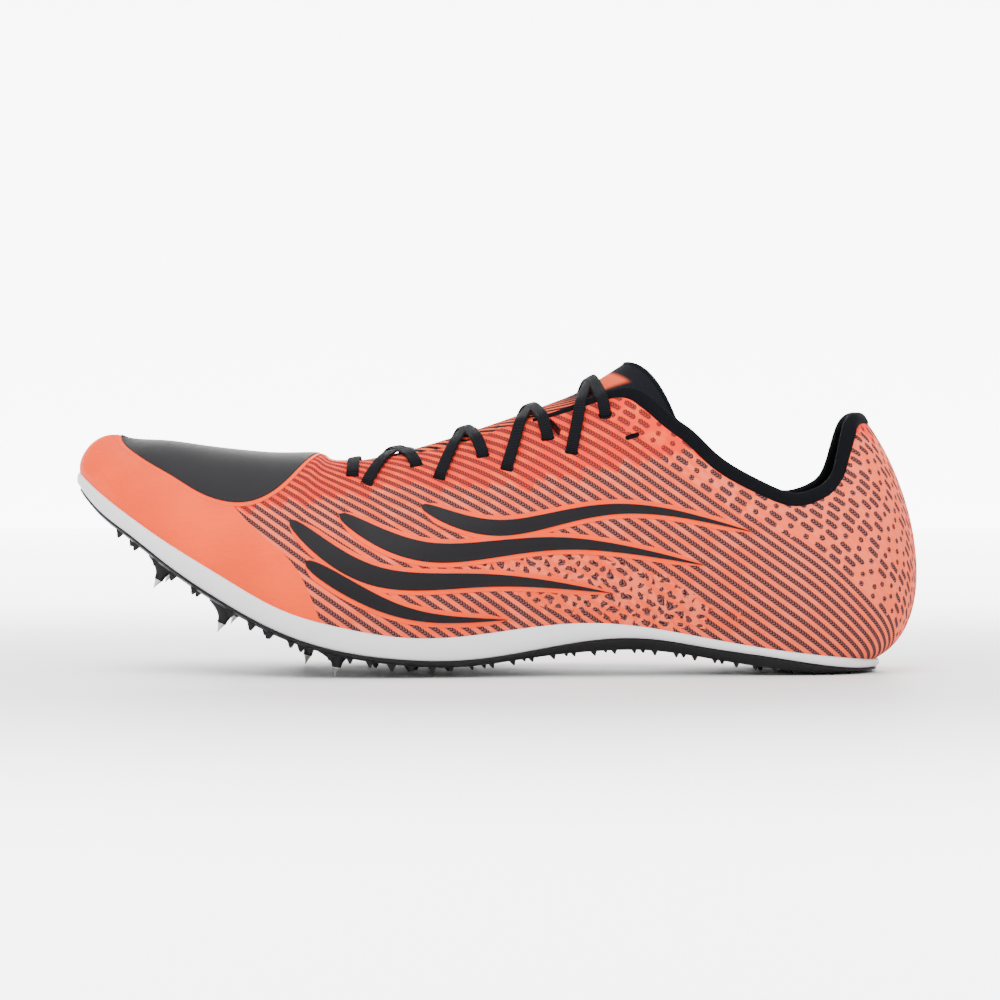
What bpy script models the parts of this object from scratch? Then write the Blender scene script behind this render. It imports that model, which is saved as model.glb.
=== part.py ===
"""Low sprint spike, left foot, laced and empty, standing on its heel and two pins.

X runs from the toe (-X) to the heel (+X), the outer side of the foot faces -Y, Z is up.
The upper is one skin, lofted through the rows of SECTIONS: each row is a rib that
starts on the sole's edge and ends on the collar, on the throat's edge or on the ridge
over the toes. Everything laid on the skin or inside it is read from the same ribs.
"""

from collections import namedtuple
from math import acos, atan2, cos, hypot, pi, radians, sin

import bmesh
import bpy
import numpy as np
from mathutils import Vector
from mathutils.bvhtree import BVHTree

# Driving sizes, in metres
LENGTH = 0.285             # toe tip to the back of the heel
BALL_WIDTH = 0.0935        # widest place of the sole's edge
HEEL_HEIGHT = 0.0873       # floor to the top of the collar behind the heel
INSTEP_HEIGHT = 0.0956     # floor to the front corner of the collar
TONGUE_HEIGHT = 0.1046     # floor to the tip of the tongue
TOE_LIFT = 0.0672          # floor to the sole's edge at the toe tip
ARCH_LIFT = 0.003          # how much higher the inner edge of the sole runs
TOE_IN = 0.006             # how far the toe swings to the inner side

UPPER_WALL = 0.0018
CUFF_WIDTH = 0.0048        # bound edge of the collar
CUFF_WALL = 0.0032
CUFF_RAISE = 0.0004        # the cuff stands out past the upper by this
FILM = 0.0006              # films welded on the upper
FILM_CLEAR = 0.0004        # between a film and the upper
FILM_FOOT = 0.0022         # films end this far above the sole's edge
EYESTAY_WIDTH = 0.013
EYESTAY_NARROWS = 0.55     # how much of it is gone at its front end
TONGUE_WALL = 0.0026
TONGUE_LAP = 0.003         # least lap of the tongue inside the collar
TONGUE_ARCH = 2.6          # how boxy the tongue's arch is
INSOLE_THICK = 0.003
MIDSOLE_THICK = 0.0084
MIDSOLE_LEDGE = 0.0008     # the midsole stands out past the upper by this
MIDSOLE_BULGE = 0.0004     # and by this much more in the middle of its height
MIDSOLE_TUCK = 0.0012      # its lower rim lies this far in from its upper rim
PLATE_THICK = 0.0034
PLATE_INSET = 0.0018
HEEL_LUG = 0.0007          # the plate's least height over the floor
LACE_WIDTH = 0.004
LACE_THICK = 0.0011
LACE_CLEAR = 0.0009        # between the lace and what it lies on
LACE_STEPS = 12
TOOTH_HEIGHT = 0.0021
TOOTH_SIZE = 0.0024
TOOTH_PITCH = 0.0130
TOOTH_ROOT = 0.0006        # how deep a tooth starts in the plate
FIN_HEIGHT = 0.0052
FIN_LENGTH = 0.0105
FIN_WIDTH = 0.0042
FIN_DRAG = 0.45            # how far a fin is drawn out behind its pin, 0 to 1
PIN_LENGTH = 0.0031
PIN_RADIUS = 0.0013
PIN_TIP = 0.00016
PIN_LEAN = 0.8             # how far pins follow the plate's slope, 0 to 1
GAP = 0.0003               # between neighbours that touch
WELD = 0.00002             # points closer than this are one
EXTRA_STATIONS = 2.5, 3.5, 4.5    # beside the rows of SECTIONS, at the dip of the collar
RIB_STEPS = 8              # faces along a rib
SOLE_STEPS = 36            # faces along each side of the sole
TOOTH_ROWS = [(0.0052, 0.0), (0.0145, 0.5)]    # inset from the edge, shift in pitches
TOOTH_RANGE = 0.085, 0.962                     # shares of LENGTH from the heel

LATERAL, MEDIAL = -1, 1    # outer and inner side of the foot, as signs of Y

# The sole. at: distance from the back of the heel, a share of LENGTH. outer, inner: the
# edge's distance from the centre line, shares of BALL_WIDTH. edge: its height, a share
# of TOE_LIFT. band: the midsole's height, a share of MIDSOLE_THICK. plate: a share of
# PLATE_THICK. arch: a share of ARCH_LIFT.
SoleRow = namedtuple("SoleRow", "at outer inner edge band plate arch")
SOLE = [
    SoleRow(0.0505, 0.000, 0.000, 0.064, 0.31, 0.22, 0.0),
    SoleRow(0.0790, 0.235, 0.220, 0.079, 0.38, 0.30, 0.0),
    SoleRow(0.1210, 0.308, 0.287, 0.099, 0.38, 0.62, 0.0),
    SoleRow(0.1840, 0.334, 0.304, 0.134, 0.32, 0.94, 0.1),
    SoleRow(0.2540, 0.332, 0.278, 0.185, 0.38, 0.88, 0.5),
    SoleRow(0.3250, 0.332, 0.256, 0.239, 0.45, 0.97, 0.9),
    SoleRow(0.3880, 0.349, 0.264, 0.263, 0.68, 0.94, 1.0),
    SoleRow(0.4650, 0.390, 0.324, 0.243, 0.93, 0.56, 0.7),
    SoleRow(0.5420, 0.448, 0.410, 0.204, 0.94, 0.50, 0.3),
    SoleRow(0.6120, 0.484, 0.468, 0.202, 0.87, 0.42, 0.1),
    SoleRow(0.6820, 0.499, 0.499, 0.252, 0.94, 0.36, -0.3),
    SoleRow(0.7530, 0.480, 0.497, 0.343, 0.92, 0.36, -0.5),
    SoleRow(0.8230, 0.418, 0.460, 0.505, 0.99, 0.36, -0.3),
    SoleRow(0.8860, 0.335, 0.404, 0.661, 0.88, 0.36, 0.0),
    SoleRow(0.9350, 0.242, 0.334, 0.797, 0.76, 0.33, 0.0),
    SoleRow(0.9770, 0.105, 0.235, 0.923, 0.76, 0.30, 0.0),
    SoleRow(0.9993, -0.064, 0.064, 1.000, 0.62, 0.30, 0.0),
]

# The upper's ribs. foot, top: where a rib starts and ends, shares of LENGTH from the
# heel. half: the top's distance from the centre line, a share of BALL_WIDTH. by_heel,
# by_instep: the rib's height, shares of HEEL_HEIGHT and INSTEP_HEIGHT that add up.
# low_out, high_out: how far the rib leans out at its ends, shares of BALL_WIDTH.
# low_up, high_down: the height over which it does, shares of the rib's own height.
Section = namedtuple(
    "Section", "foot top half by_heel by_instep low_out low_up high_out high_down")
SECTIONS = [
    # around the heel
    Section(0.0505, 0.070, 0.000, 0.954, 0.000, 0.258, 0.14, 0.210, 0.28),
    Section(0.0540, 0.080, 0.065, 0.952, 0.000, 0.245, 0.15, 0.214, 0.26),
    Section(0.0640, 0.089, 0.112, 0.925, 0.000, 0.224, 0.17, 0.205, 0.21),
    Section(0.0790, 0.097, 0.152, 0.860, 0.000, 0.188, 0.19, 0.180, 0.16),
    Section(0.1000, 0.106, 0.200, 0.735, 0.000, 0.124, 0.24, 0.138, 0.15),
    Section(0.1230, 0.118, 0.236, 0.660, 0.000, 0.084, 0.30, 0.110, 0.21),
    # along the collar
    Section(0.1450, 0.139, 0.263, 0.618, 0.000, 0.062, 0.33, 0.092, 0.28),
    Section(0.1690, 0.161, 0.280, 0.604, 0.000, 0.050, 0.34, 0.081, 0.31),
    Section(0.1980, 0.189, 0.289, 0.612, 0.014, 0.042, 0.34, 0.074, 0.32),
    Section(0.2270, 0.217, 0.289, 0.560, 0.090, 0.040, 0.34, 0.070, 0.32),
    Section(0.2570, 0.245, 0.282, 0.480, 0.204, 0.040, 0.34, 0.070, 0.32),
    Section(0.2860, 0.270, 0.273, 0.380, 0.352, 0.040, 0.33, 0.070, 0.31),
    Section(0.3140, 0.292, 0.261, 0.250, 0.505, 0.040, 0.32, 0.074, 0.30),
    Section(0.3400, 0.314, 0.247, 0.130, 0.660, 0.038, 0.32, 0.082, 0.29),
    Section(0.3640, 0.335, 0.231, 0.050, 0.768, 0.036, 0.32, 0.092, 0.28),
    # beside the throat
    Section(0.3900, 0.358, 0.208, 0.000, 0.817, 0.034, 0.32, 0.106, 0.27),
    Section(0.4250, 0.390, 0.180, 0.000, 0.788, 0.032, 0.32, 0.124, 0.25),
    Section(0.4700, 0.438, 0.162, 0.000, 0.745, 0.032, 0.32, 0.142, 0.22),
    Section(0.5200, 0.493, 0.146, 0.000, 0.712, 0.034, 0.33, 0.156, 0.17),
    Section(0.5700, 0.548, 0.130, 0.000, 0.664, 0.037, 0.34, 0.168, 0.12),
    Section(0.6200, 0.602, 0.114, 0.000, 0.626, 0.040, 0.35, 0.178, 0.08),
    Section(0.6650, 0.648, 0.096, 0.000, 0.584, 0.042, 0.37, 0.192, 0.05),
    Section(0.7050, 0.681, 0.072, 0.000, 0.550, 0.043, 0.39, 0.212, 0.03),
    Section(0.7350, 0.700, 0.040, 0.000, 0.528, 0.043, 0.41, 0.236, 0.01),
    # over the toes
    Section(0.7580, 0.7085, 0.000, 0.000, 0.517, 0.043, 0.42, 0.262, 0.00),
    Section(0.7860, 0.732, 0.000, 0.000, 0.477, 0.043, 0.43, 0.254, 0.00),
    Section(0.8200, 0.768, 0.000, 0.000, 0.418, 0.043, 0.44, 0.236, 0.00),
    Section(0.8560, 0.808, 0.000, 0.000, 0.366, 0.042, 0.46, 0.210, 0.00),
    Section(0.8920, 0.849, 0.000, 0.000, 0.316, 0.040, 0.48, 0.180, 0.00),
    Section(0.9280, 0.889, 0.000, 0.000, 0.262, 0.035, 0.50, 0.150, 0.00),
    Section(0.9620, 0.920, 0.000, 0.000, 0.198, 0.028, 0.50, 0.122, 0.00),
    Section(0.9870, 0.939, 0.000, 0.000, 0.146, 0.021, 0.49, 0.104, 0.00),
    Section(0.9993, 0.946, 0.000, 0.000, 0.122, 0.016, 0.48, 0.096, 0.00),
]
CUFF_END = 15              # row where the bound edge of the collar ends
THROAT_END = 24            # row where the throat closes
EYESTAY_START = 16         # rows where the eyestay's band starts and ends
EYESTAY_END = 26
EYESTAY_TAPER = 22         # row from which it narrows to its front end

# The tongue. row: the SECTIONS row it lies under. at: its centre's distance from the
# heel, a share of LENGTH. height: the centre's height, a share of TONGUE_HEIGHT.
# tuck: how far its sides reach down under the eyestay, a share of EYESTAY_WIDTH.
TongueRow = namedtuple("TongueRow", "row at height tuck")
TONGUE = [
    TongueRow(11.9, 0.348, 1.000, 0.00),
    TongueRow(12.8, 0.362, 0.975, 0.25),
    TongueRow(13.9, 0.381, 0.942, 0.55),
    TongueRow(15.0, 0.405, 0.903, 0.80),
    TongueRow(16.0, 0.432, 0.872, 0.90),
    TongueRow(17.0, 0.468, 0.836, 0.95),
    TongueRow(18.0, 0.512, 0.794, 0.95),
    TongueRow(19.0, 0.558, 0.753, 0.95),
    TongueRow(20.0, 0.604, 0.716, 0.95),
    TongueRow(21.0, 0.646, 0.690, 0.95),
    TongueRow(22.0, 0.676, 0.675, 0.95),
    TongueRow(23.0, 0.698, 0.668, 0.95),
]

# The lace. Each strand goes over the tongue from an outer hole to an inner hole. at:
# the hole's distance from the heel, a share of LENGTH. high: its height, a share of
# INSTEP_HEIGHT.
Hole = namedtuple("Hole", "at high")
HOLES = [
    Hole(0.671, 0.690), Hole(0.655, 0.661), Hole(0.595, 0.725), Hole(0.570, 0.681),
    Hole(0.517, 0.757), Hole(0.491, 0.711), Hole(0.441, 0.815), Hole(0.415, 0.768),
    Hole(0.374, 0.892),
]
# Holes joined by the strands of one crossing: the first of each pair is the outer one.
CROSSINGS = [[(0, 0)], [(1, 2), (2, 1)], [(3, 4), (4, 3)], [(5, 6), (6, 5)], [(7, 8), (8, 7)]]

# Spike pins. at: distance from the heel, a share of LENGTH. across: distance from the
# centre line, a share of BALL_WIDTH, outer side negative. stands: its fin is as long as
# it takes for the pin to stand on the floor.
Pin = namedtuple("Pin", "at across stands")
PINS = [
    Pin(0.890, -0.205, False), Pin(0.8145, -0.335, False), Pin(0.685, -0.400, True),
    Pin(0.890, 0.270, False), Pin(0.8145, 0.370, False), Pin(0.727, 0.310, True),
]

# Black films on both sides of the upper, as seen from the side. Each is a ribbon along
# four points. at: shares of LENGTH from the heel. high: shares of INSTEP_HEIGHT.
Ribbon = namedtuple("Ribbon", "at high width")
RIBBONS = [
    Ribbon((0.590, 0.490, 0.360, 0.205), (0.590, 0.515, 0.580, 0.500), 0.0052),
    Ribbon((0.685, 0.575, 0.430, 0.260), (0.560, 0.430, 0.460, 0.385), 0.0064),
    Ribbon((0.742, 0.640, 0.510, 0.370), (0.540, 0.350, 0.335, 0.290), 0.0064),
    Ribbon((0.722, 0.665, 0.590, 0.490), (0.400, 0.300, 0.215, 0.200), 0.0052),
]
# The black film over the toes and the orange rand under it, as outlines from the side.
TOE_FILM = [(0.957, 0.840), (0.925, 0.760), (0.880, 0.690), (0.830, 0.620), (0.795, 0.590),
            (0.775, 0.640), (0.785, 0.700), (0.805, 0.760), (0.830, 0.900), (0.960, 0.900)]
RAND = [(1.02, 0.86), (0.970, 0.815), (0.935, 0.720), (0.890, 0.650), (0.830, 0.560),
        (0.770, 0.450), (0.725, 0.340), (0.690, 0.160), (0.690, -0.05), (1.02, -0.05)]

# Finishes: colour as linear red, green and blue, then roughness and metallic
ORANGE_KNIT = (0.80, 0.17, 0.07), 0.75, 0.0
ORANGE_FILM = (0.95, 0.16, 0.04), 0.45, 0.0
BLACK_FILM = (0.035, 0.033, 0.036), 0.40, 0.0
BLACK_TEXTILE = (0.012, 0.012, 0.014), 0.85, 0.0
WHITE_FOAM = (0.80, 0.80, 0.82), 0.55, 0.0
BLACK_PLATE = (0.020, 0.021, 0.023), 0.40, 0.0
STEEL = (0.55, 0.52, 0.47), 0.35, 1.0
GREY_TEXTILE = (0.10, 0.10, 0.11), 0.90, 0.0


def spline(places, values):
    """Natural cubic spline through the values, as a function of the place."""
    x, y = np.asarray(places, float), np.asarray(values, float)
    n, h, rise = len(x), np.diff(x), np.diff(y) / np.diff(x)
    system, right = np.eye(n), np.zeros(n)
    for i in range(1, n - 1):
        system[i, i - 1:i + 2] = h[i - 1], 2 * (h[i - 1] + h[i]), h[i]
        right[i] = 6 * (rise[i] - rise[i - 1])
    bend = np.linalg.solve(system, right)

    def value(place):
        i = int(np.clip(np.searchsorted(x, place) - 1, 0, n - 2))
        a, b = (x[i + 1] - place) / h[i], (place - x[i]) / h[i]
        curved = (a ** 3 - a) * bend[i] + (b ** 3 - b) * bend[i + 1]
        return a * y[i] + b * y[i + 1] + curved * h[i] ** 2 / 6

    return value


def column(rows, name, places):
    """One column of a table as a spline over the given places."""
    return spline(places, [getattr(row, name) for row in rows])


def place_x(at):
    """X of a distance from the heel that is a share of LENGTH."""
    return LENGTH * (0.5 - at)


def centre_y(x):
    """Y of the shoe's centre line, which swings to the inner side at the toe."""
    toe = max(0.0, (-0.2 * LENGTH - x) / (0.3 * LENGTH))
    return TOE_IN * toe ** 1.6


SOLE_START, SOLE_END = SOLE[0].at, SOLE[-1].at


def turn(at):
    """Angle along the sole, 0 at the heel and pi at the toe, which rounds both ends."""
    share = (at - SOLE_START) / (SOLE_END - SOLE_START)
    return acos(min(1.0, max(-1.0, 1 - 2 * share)))


SOLE_TURNS = [turn(row.at) for row in SOLE]
OUTLINE = {LATERAL: column(SOLE, "outer", SOLE_TURNS), MEDIAL: column(SOLE, "inner", SOLE_TURNS)}
EDGE, BAND, PLATE, ARCH = (
    column(SOLE, name, [row.at for row in SOLE]) for name in ("edge", "band", "plate", "arch"))


def edge_point(side, at):
    """Point of the sole's edge, where upper and midsole meet."""
    y = side * BALL_WIDTH * OUTLINE[side](turn(at))
    z = TOE_LIFT * EDGE(at) + (ARCH_LIFT * ARCH(at) if side == MEDIAL else 0.0)
    return Vector((place_x(at), y, z))


def place_at(angle):
    """The share of LENGTH at an angle along the sole."""
    return SOLE_START + (SOLE_END - SOLE_START) * (1 - cos(angle)) / 2


def edge_normal(side, at):
    """Direction out of the sole's edge, seen from above."""
    angle, step = turn(at), 0.02
    ends = []
    for there in (angle - step, angle + step):
        past_end = there < 0 or there > pi
        folded = abs(there) if there < pi else 2 * pi - there
        ends.append(edge_point(-side if past_end else side, place_at(folded)))
    run = ends[1] - ends[0]
    return Vector((run.y * side, -run.x * side, 0)).normalized()


ROW_NUMBERS = list(range(len(SECTIONS)))
RIB = {name: column(SECTIONS, name, ROW_NUMBERS) for name in Section._fields}


def rib(side, row, samples=33):
    """Points of one rib from the sole's edge to its top, evenly spaced."""
    foot_at = min(SOLE_END, max(SOLE_START, RIB["foot"](row)))
    foot, out = edge_point(side, foot_at), edge_normal(side, foot_at)
    half = max(0.0, RIB["half"](row)) if row < THROAT_END else 0.0
    x = place_x(RIB["top"](row))
    rise = HEEL_HEIGHT * RIB["by_heel"](row) + INSTEP_HEIGHT * RIB["by_instep"](row)
    top = Vector((x, centre_y(x) + side * half * BALL_WIDTH, TOE_LIFT * EDGE(foot_at) + rise))
    height = top.z - foot.z
    low = foot + out * BALL_WIDTH * RIB["low_out"](row)
    low.z += height * RIB["low_up"](row)
    high = top + out * BALL_WIDTH * RIB["high_out"](row)
    high.z -= height * RIB["high_down"](row)
    t = np.linspace(0, 1, samples)[:, None]
    corners = [np.array(p) for p in (foot, low, high, top)]
    points = ((1 - t) ** 3 * corners[0] + 3 * (1 - t) ** 2 * t * corners[1]
              + 3 * (1 - t) * t ** 2 * corners[2] + t ** 3 * corners[3])
    return points


def along(points, shares):
    """Points at shares of a polyline's length."""
    steps = np.linalg.norm(np.diff(points, axis=0), axis=1)
    run = np.concatenate([[0], np.cumsum(steps)])
    wanted = np.asarray(shares) * run[-1]
    return [Vector([np.interp(w, run, points[:, k]) for k in range(3)]) for w in wanted]


def rib_length(points):
    """Length of a polyline."""
    return float(np.linalg.norm(np.diff(points, axis=0), axis=1).sum())


def stations(first, last):
    """Row numbers from first to last, with the extra ones between them."""
    return sorted(k for k in [*ROW_NUMBERS, *EXTRA_STATIONS] if first <= k <= last)


def collection(name):
    """A collection of the scene."""
    made = bpy.data.collections.new(name)
    bpy.context.scene.collection.children.link(made)
    return made


def finish(name, look):
    """A material with one Principled shader."""
    colour, roughness, metallic = look
    material = bpy.data.materials.new(name)
    material.use_nodes = True
    shader = material.node_tree.nodes["Principled BSDF"]
    shader.inputs["Base Color"].default_value = (*colour, 1)
    shader.inputs["Roughness"].default_value = roughness
    shader.inputs["Metallic"].default_value = metallic
    material.diffuse_color = (*colour, 1)
    return material


def add_object(name, bm, where, material=None):
    """A new object from a bmesh, which is freed."""
    mesh = bpy.data.meshes.new(name)
    bm.to_mesh(mesh)
    bm.free()
    thing = bpy.data.objects.new(name, mesh)
    where.objects.link(thing)
    if material:
        mesh.materials.append(material)
        mesh.shade_smooth()
        mesh.set_sharp_from_angle(angle=radians(38))
    return thing


def add_grid(bm, rows):
    """Add an open skin over rows of points."""
    made = [[bm.verts.new(p) for p in row] for row in rows]
    for a, b in zip(made, made[1:]):
        for k in range(len(a) - 1):
            bm.faces.new((a[k], a[k + 1], b[k + 1], b[k]))
    return bm


def loft(bm, rings):
    """Add a closed body through rings of points, with a face across each end."""
    made = [[bm.verts.new(p) for p in ring] for ring in rings]
    for a, b in zip(made, made[1:]):
        for k in range(len(a)):
            n = (k + 1) % len(a)
            bm.faces.new((a[k], a[n], b[n], b[k]))
    bm.faces.new(made[0])
    bm.faces.new(made[-1])
    bmesh.ops.recalc_face_normals(bm, faces=bm.faces)
    return bm


def face_outwards(bm, inside):
    """Turn the faces of an open skin away from a point inside it."""
    bmesh.ops.recalc_face_normals(bm, faces=bm.faces)
    bm.normal_update()
    vote = sum(f.normal.dot(f.calc_center_median() - inside) * f.calc_area() for f in bm.faces)
    if vote < 0:
        bmesh.ops.reverse_faces(bm, faces=bm.faces)
    bm.normal_update()


def push(bm, distance):
    """Move each vertex of a skin along its normal."""
    bm.normal_update()
    moves = [(v, v.normal.copy()) for v in bm.verts]
    for vertex, normal in moves:
        vertex.co += normal * distance


def thicken(thing, wall, inwards=True):
    """Give an open skin its wall."""
    solid = thing.modifiers.new("Wall", "SOLIDIFY")
    solid.thickness = wall
    solid.offset = -1 if inwards else 1
    solid.use_even_offset = False
    return thing


def boolean(thing, cutter, operation):
    """Cut or join with another object, which is kept out of the render."""
    step = thing.modifiers.new(operation.title(), "BOOLEAN")
    step.operation, step.object, step.solver = operation, cutter, "EXACT"
    cutter.hide_render, cutter.display_type = True, "WIRE"
    return thing


def evaluated(thing):
    """A bmesh of the object with its modifiers, in world space."""
    bpy.context.view_layer.update()
    seen = thing.evaluated_get(bpy.context.evaluated_depsgraph_get())
    bm = bmesh.new()
    bm.from_mesh(seen.to_mesh())
    bm.transform(thing.matrix_world)
    return bm


CORE = 0.45 * INSTEP_HEIGHT
INSIDE = Vector((0, 0, CORE))


def skin(first, last, low, high, steps, offset=0.0):
    """Skin over the ribs of both sides from one row to another.

    low and high give the shares of a rib between which it runs. The two sides join
    where their ribs meet: behind the heel, on the ridge and at the toe.
    """
    bm = bmesh.new()
    for side in (LATERAL, MEDIAL):
        rows = []
        for row in stations(first, last):
            points = rib(side, row)
            shares = np.linspace(low(points, row), high(points, row), steps + 1)
            rows.append(along(points, shares))
        add_grid(bm, rows)
    bmesh.ops.remove_doubles(bm, verts=bm.verts, dist=WELD)
    face_outwards(bm, INSIDE)
    bmesh.ops.triangulate(bm, faces=bm.faces, quad_method="FIXED")
    push(bm, offset)
    return bm


def under_cuff(points, row):
    """Share of a rib at which the upper ends: below the cuff, or at the throat's edge."""
    if row > CUFF_END + 0.1:
        return 1.0
    return 1 - CUFF_WIDTH / rib_length(points)


def at_foot(points, row):
    """The lower end of a rib."""
    return 0.0


def make_upper(parts, material):
    """The upper: one hollow skin, open at collar and throat and underneath."""
    bm = skin(0, len(SECTIONS) - 1, at_foot, under_cuff, RIB_STEPS)
    return thicken(add_object("upper", bm, parts, material), UPPER_WALL)


def from_top(length):
    """The place on a rib at a length back from its top, as a function for skin."""
    return lambda points, row: 1 - length / rib_length(points)


def at_top(points, row):
    """The upper end of a rib."""
    return 1.0


def make_cuff(parts, cutters, material):
    """The bound edge of the collar, a thicker step above the upper's wall."""
    bm = skin(0, CUFF_END, from_top(CUFF_WIDTH - 3 * GAP), at_top, 3, CUFF_RAISE)
    cuff = thicken(add_object("collar_cuff", bm, parts, material), CUFF_WALL)
    swollen = skin(0, CUFF_END, at_foot, from_top(CUFF_WIDTH - GAP), RIB_STEPS, 2 * GAP)
    trim = thicken(add_object("upper_with_clearance", swollen, cutters), UPPER_WALL + 4 * GAP)
    return boolean(cuff, trim, "DIFFERENCE")


def eyestay_foot(points, row):
    """Lower edge of the eyestay, which narrows to its front end."""
    front = max(0.0, (row - EYESTAY_TAPER) / (EYESTAY_END - EYESTAY_TAPER))
    return 1 - EYESTAY_WIDTH * (1 - EYESTAY_NARROWS * front ** 2) / rib_length(points)


def make_eyestay(parts, material):
    """The band beside the throat, laid on the upper."""
    bm = skin(EYESTAY_START, EYESTAY_END, eyestay_foot, at_top, 3, FILM_CLEAR)
    return thicken(add_object("eyestay", bm, parts, material), FILM, inwards=False)


def above_sole(points, row):
    """Share of a rib at which the films end, clear of the midsole."""
    return FILM_FOOT / rib_length(points)


def prism(name, outline, y_from, y_to, cutters):
    """A cutter: an outline seen from the side, run across the shoe."""
    bm = bmesh.new()
    near = [bm.verts.new((x, y_from, z)) for x, z in outline]
    face = bm.faces.new(near)
    far = bmesh.ops.extrude_face_region(bm, geom=[face])["geom"]
    moved = [v for v in far if isinstance(v, bmesh.types.BMVert)]
    bmesh.ops.translate(bm, verts=moved, vec=(0, y_to - y_from, 0))
    bmesh.ops.recalc_face_normals(bm, faces=bm.faces)
    return add_object(name, bm, cutters)


def side_outline(rows):
    """Points in X and Z from shares of LENGTH and INSTEP_HEIGHT."""
    return [(place_x(at), high * INSTEP_HEIGHT) for at, high in rows]


def ribbon_outline(ribbon, steps=8):
    """Outline of a ribbon that is widest near its front and pointed at both ends."""
    places = [0, 1, 2, 3]
    at, high = spline(places, ribbon.at), spline(places, ribbon.high)
    upper_edge, lower_edge = [], []
    for k in range(steps + 1):
        share = k / steps
        x, z = place_x(at(3 * share)), high(3 * share) * INSTEP_HEIGHT
        dx = place_x(at(3 * share + 0.01)) - x
        dz = high(3 * share + 0.01) * INSTEP_HEIGHT - z
        run = hypot(dx, dz)
        half = 0.5 * ribbon.width * sin(pi * share ** 0.55) ** 0.8 if 0 < k < steps else 0.0
        upper_edge.append((x - dz / run * half, z + dx / run * half))
        lower_edge.append((x + dz / run * half, z - dx / run * half))
    return upper_edge + lower_edge[-2:0:-1]


def film(name, outline, sides, parts, cutters, material):
    """A film cut out of a thin shell over the upper by an outline from the side."""
    bm = skin(0, len(SECTIONS) - 1, above_sole, under_cuff, RIB_STEPS, FILM_CLEAR)
    shell = thicken(add_object(name, bm, parts, material), FILM, inwards=False)
    reach = BALL_WIDTH
    y_from, y_to = {LATERAL: (-reach, 0), MEDIAL: (0, reach), 0: (-reach, reach)}[sides]
    return boolean(shell, prism(name + "_cutter", outline, y_from, y_to, cutters), "INTERSECT")


def sole_place(x, share, drop):
    """Height at a share of the way from the outer to the inner edge, less a drop."""
    at = min(SOLE_END, max(SOLE_START, 0.5 - x / LENGTH))
    return TOE_LIFT * EDGE(at) + share * ARCH_LIFT * ARCH(at) - drop(at, share)


def sole_loop(outset, drop):
    """The sole's edge moved out and down: rows of an outer, a middle and an inner point."""
    rows = []
    for k in range(SOLE_STEPS + 1):
        at = place_at(pi * k / SOLE_STEPS)
        outer, inner = (edge_point(side, at) + edge_normal(side, at) * outset
                        for side in (LATERAL, MEDIAL))
        row = [outer, (outer + inner) / 2, inner]
        for share, point in zip((0, 0.5, 1), row):
            point.z = sole_place(point.x, share, drop)
        rows.append(row)
    return rows


def slab(loops):
    """A closed slab between loops that go down its side, with faces across both ends."""
    bm = bmesh.new()
    made = [[[bm.verts.new(p) for p in row] for row in loop] for loop in loops]
    for a, b in zip(made, made[1:]):
        for side in (0, 2):
            for k in range(SOLE_STEPS):
                bm.faces.new((a[k][side], a[k + 1][side], b[k + 1][side], b[k][side]))
    for loop in (made[0], made[-1]):
        for a, b in zip(loop, loop[1:]):
            bm.faces.new((a[0], a[1], b[1], b[0]))
            bm.faces.new((a[1], a[2], b[2], b[1]))
    bmesh.ops.remove_doubles(bm, verts=bm.verts, dist=WELD)
    bmesh.ops.recalc_face_normals(bm, faces=bm.faces)
    return bm


def band(at, share):
    """The midsole's height at a place, a little more under the arch."""
    return MIDSOLE_THICK * BAND(at) + 0.3 * share * ARCH_LIFT * max(0.0, ARCH(at))


def plate_top(at, share):
    """Drop from the sole's edge to the plate's upper face."""
    return band(at, share) + 2 * GAP


def plate_bottom(at, share):
    """Drop from the sole's edge to the plate's lower face, which stays off the floor."""
    drop = plate_top(at, share) + PLATE_THICK * PLATE(at)
    return min(drop, TOE_LIFT * EDGE(at) + share * ARCH_LIFT * ARCH(at) - HEEL_LUG)


def make_midsole(parts, material):
    """The foam between upper and plate, which stands out as a white band."""
    bm = slab([
        sole_loop(MIDSOLE_LEDGE, lambda at, share: GAP),
        sole_loop(MIDSOLE_LEDGE + MIDSOLE_BULGE, lambda at, share: GAP + band(at, share) / 2),
        sole_loop(MIDSOLE_LEDGE - MIDSOLE_TUCK, lambda at, share: GAP + band(at, share)),
    ])
    return add_object("midsole", bm, parts, material)


def make_insole(parts, material):
    """The sheet the foot stands on, inside the upper."""
    inset = -(UPPER_WALL + 3 * GAP)
    bm = slab([
        sole_loop(inset, lambda at, share: -INSOLE_THICK),
        sole_loop(inset, lambda at, share: 0.0),
    ])
    return add_object("insole", bm, parts, material)


def plate_blank():
    """The plate before its teeth and fins, and a tree to find its lower face with."""
    bm = slab([
        sole_loop(-PLATE_INSET, plate_top),
        sole_loop(-PLATE_INSET - GAP, plate_bottom),
    ])
    return bm, BVHTree.FromBMesh(bm)


def under_plate(tree, x, y):
    """Point of the plate's lower face at a place, and the direction down out of it."""
    hit, normal = tree.ray_cast(Vector((x, y, -LENGTH)), Vector((0, 0, 1)))[:2]
    return hit, normal


def cone(bm, base, tip, radius, end_radius, corners):
    """Add a closed cone or frustum from base to tip."""
    axis = tip - base
    made = bmesh.ops.create_cone(
        bm, cap_ends=True, segments=corners, radius1=radius, radius2=end_radius,
        depth=axis.length)["verts"]
    turn_to = axis.to_track_quat("Z", "Y").to_matrix().to_4x4()
    bmesh.ops.transform(bm, matrix=turn_to, verts=made)
    bmesh.ops.translate(bm, verts=made, vec=(base + tip) / 2)


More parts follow.
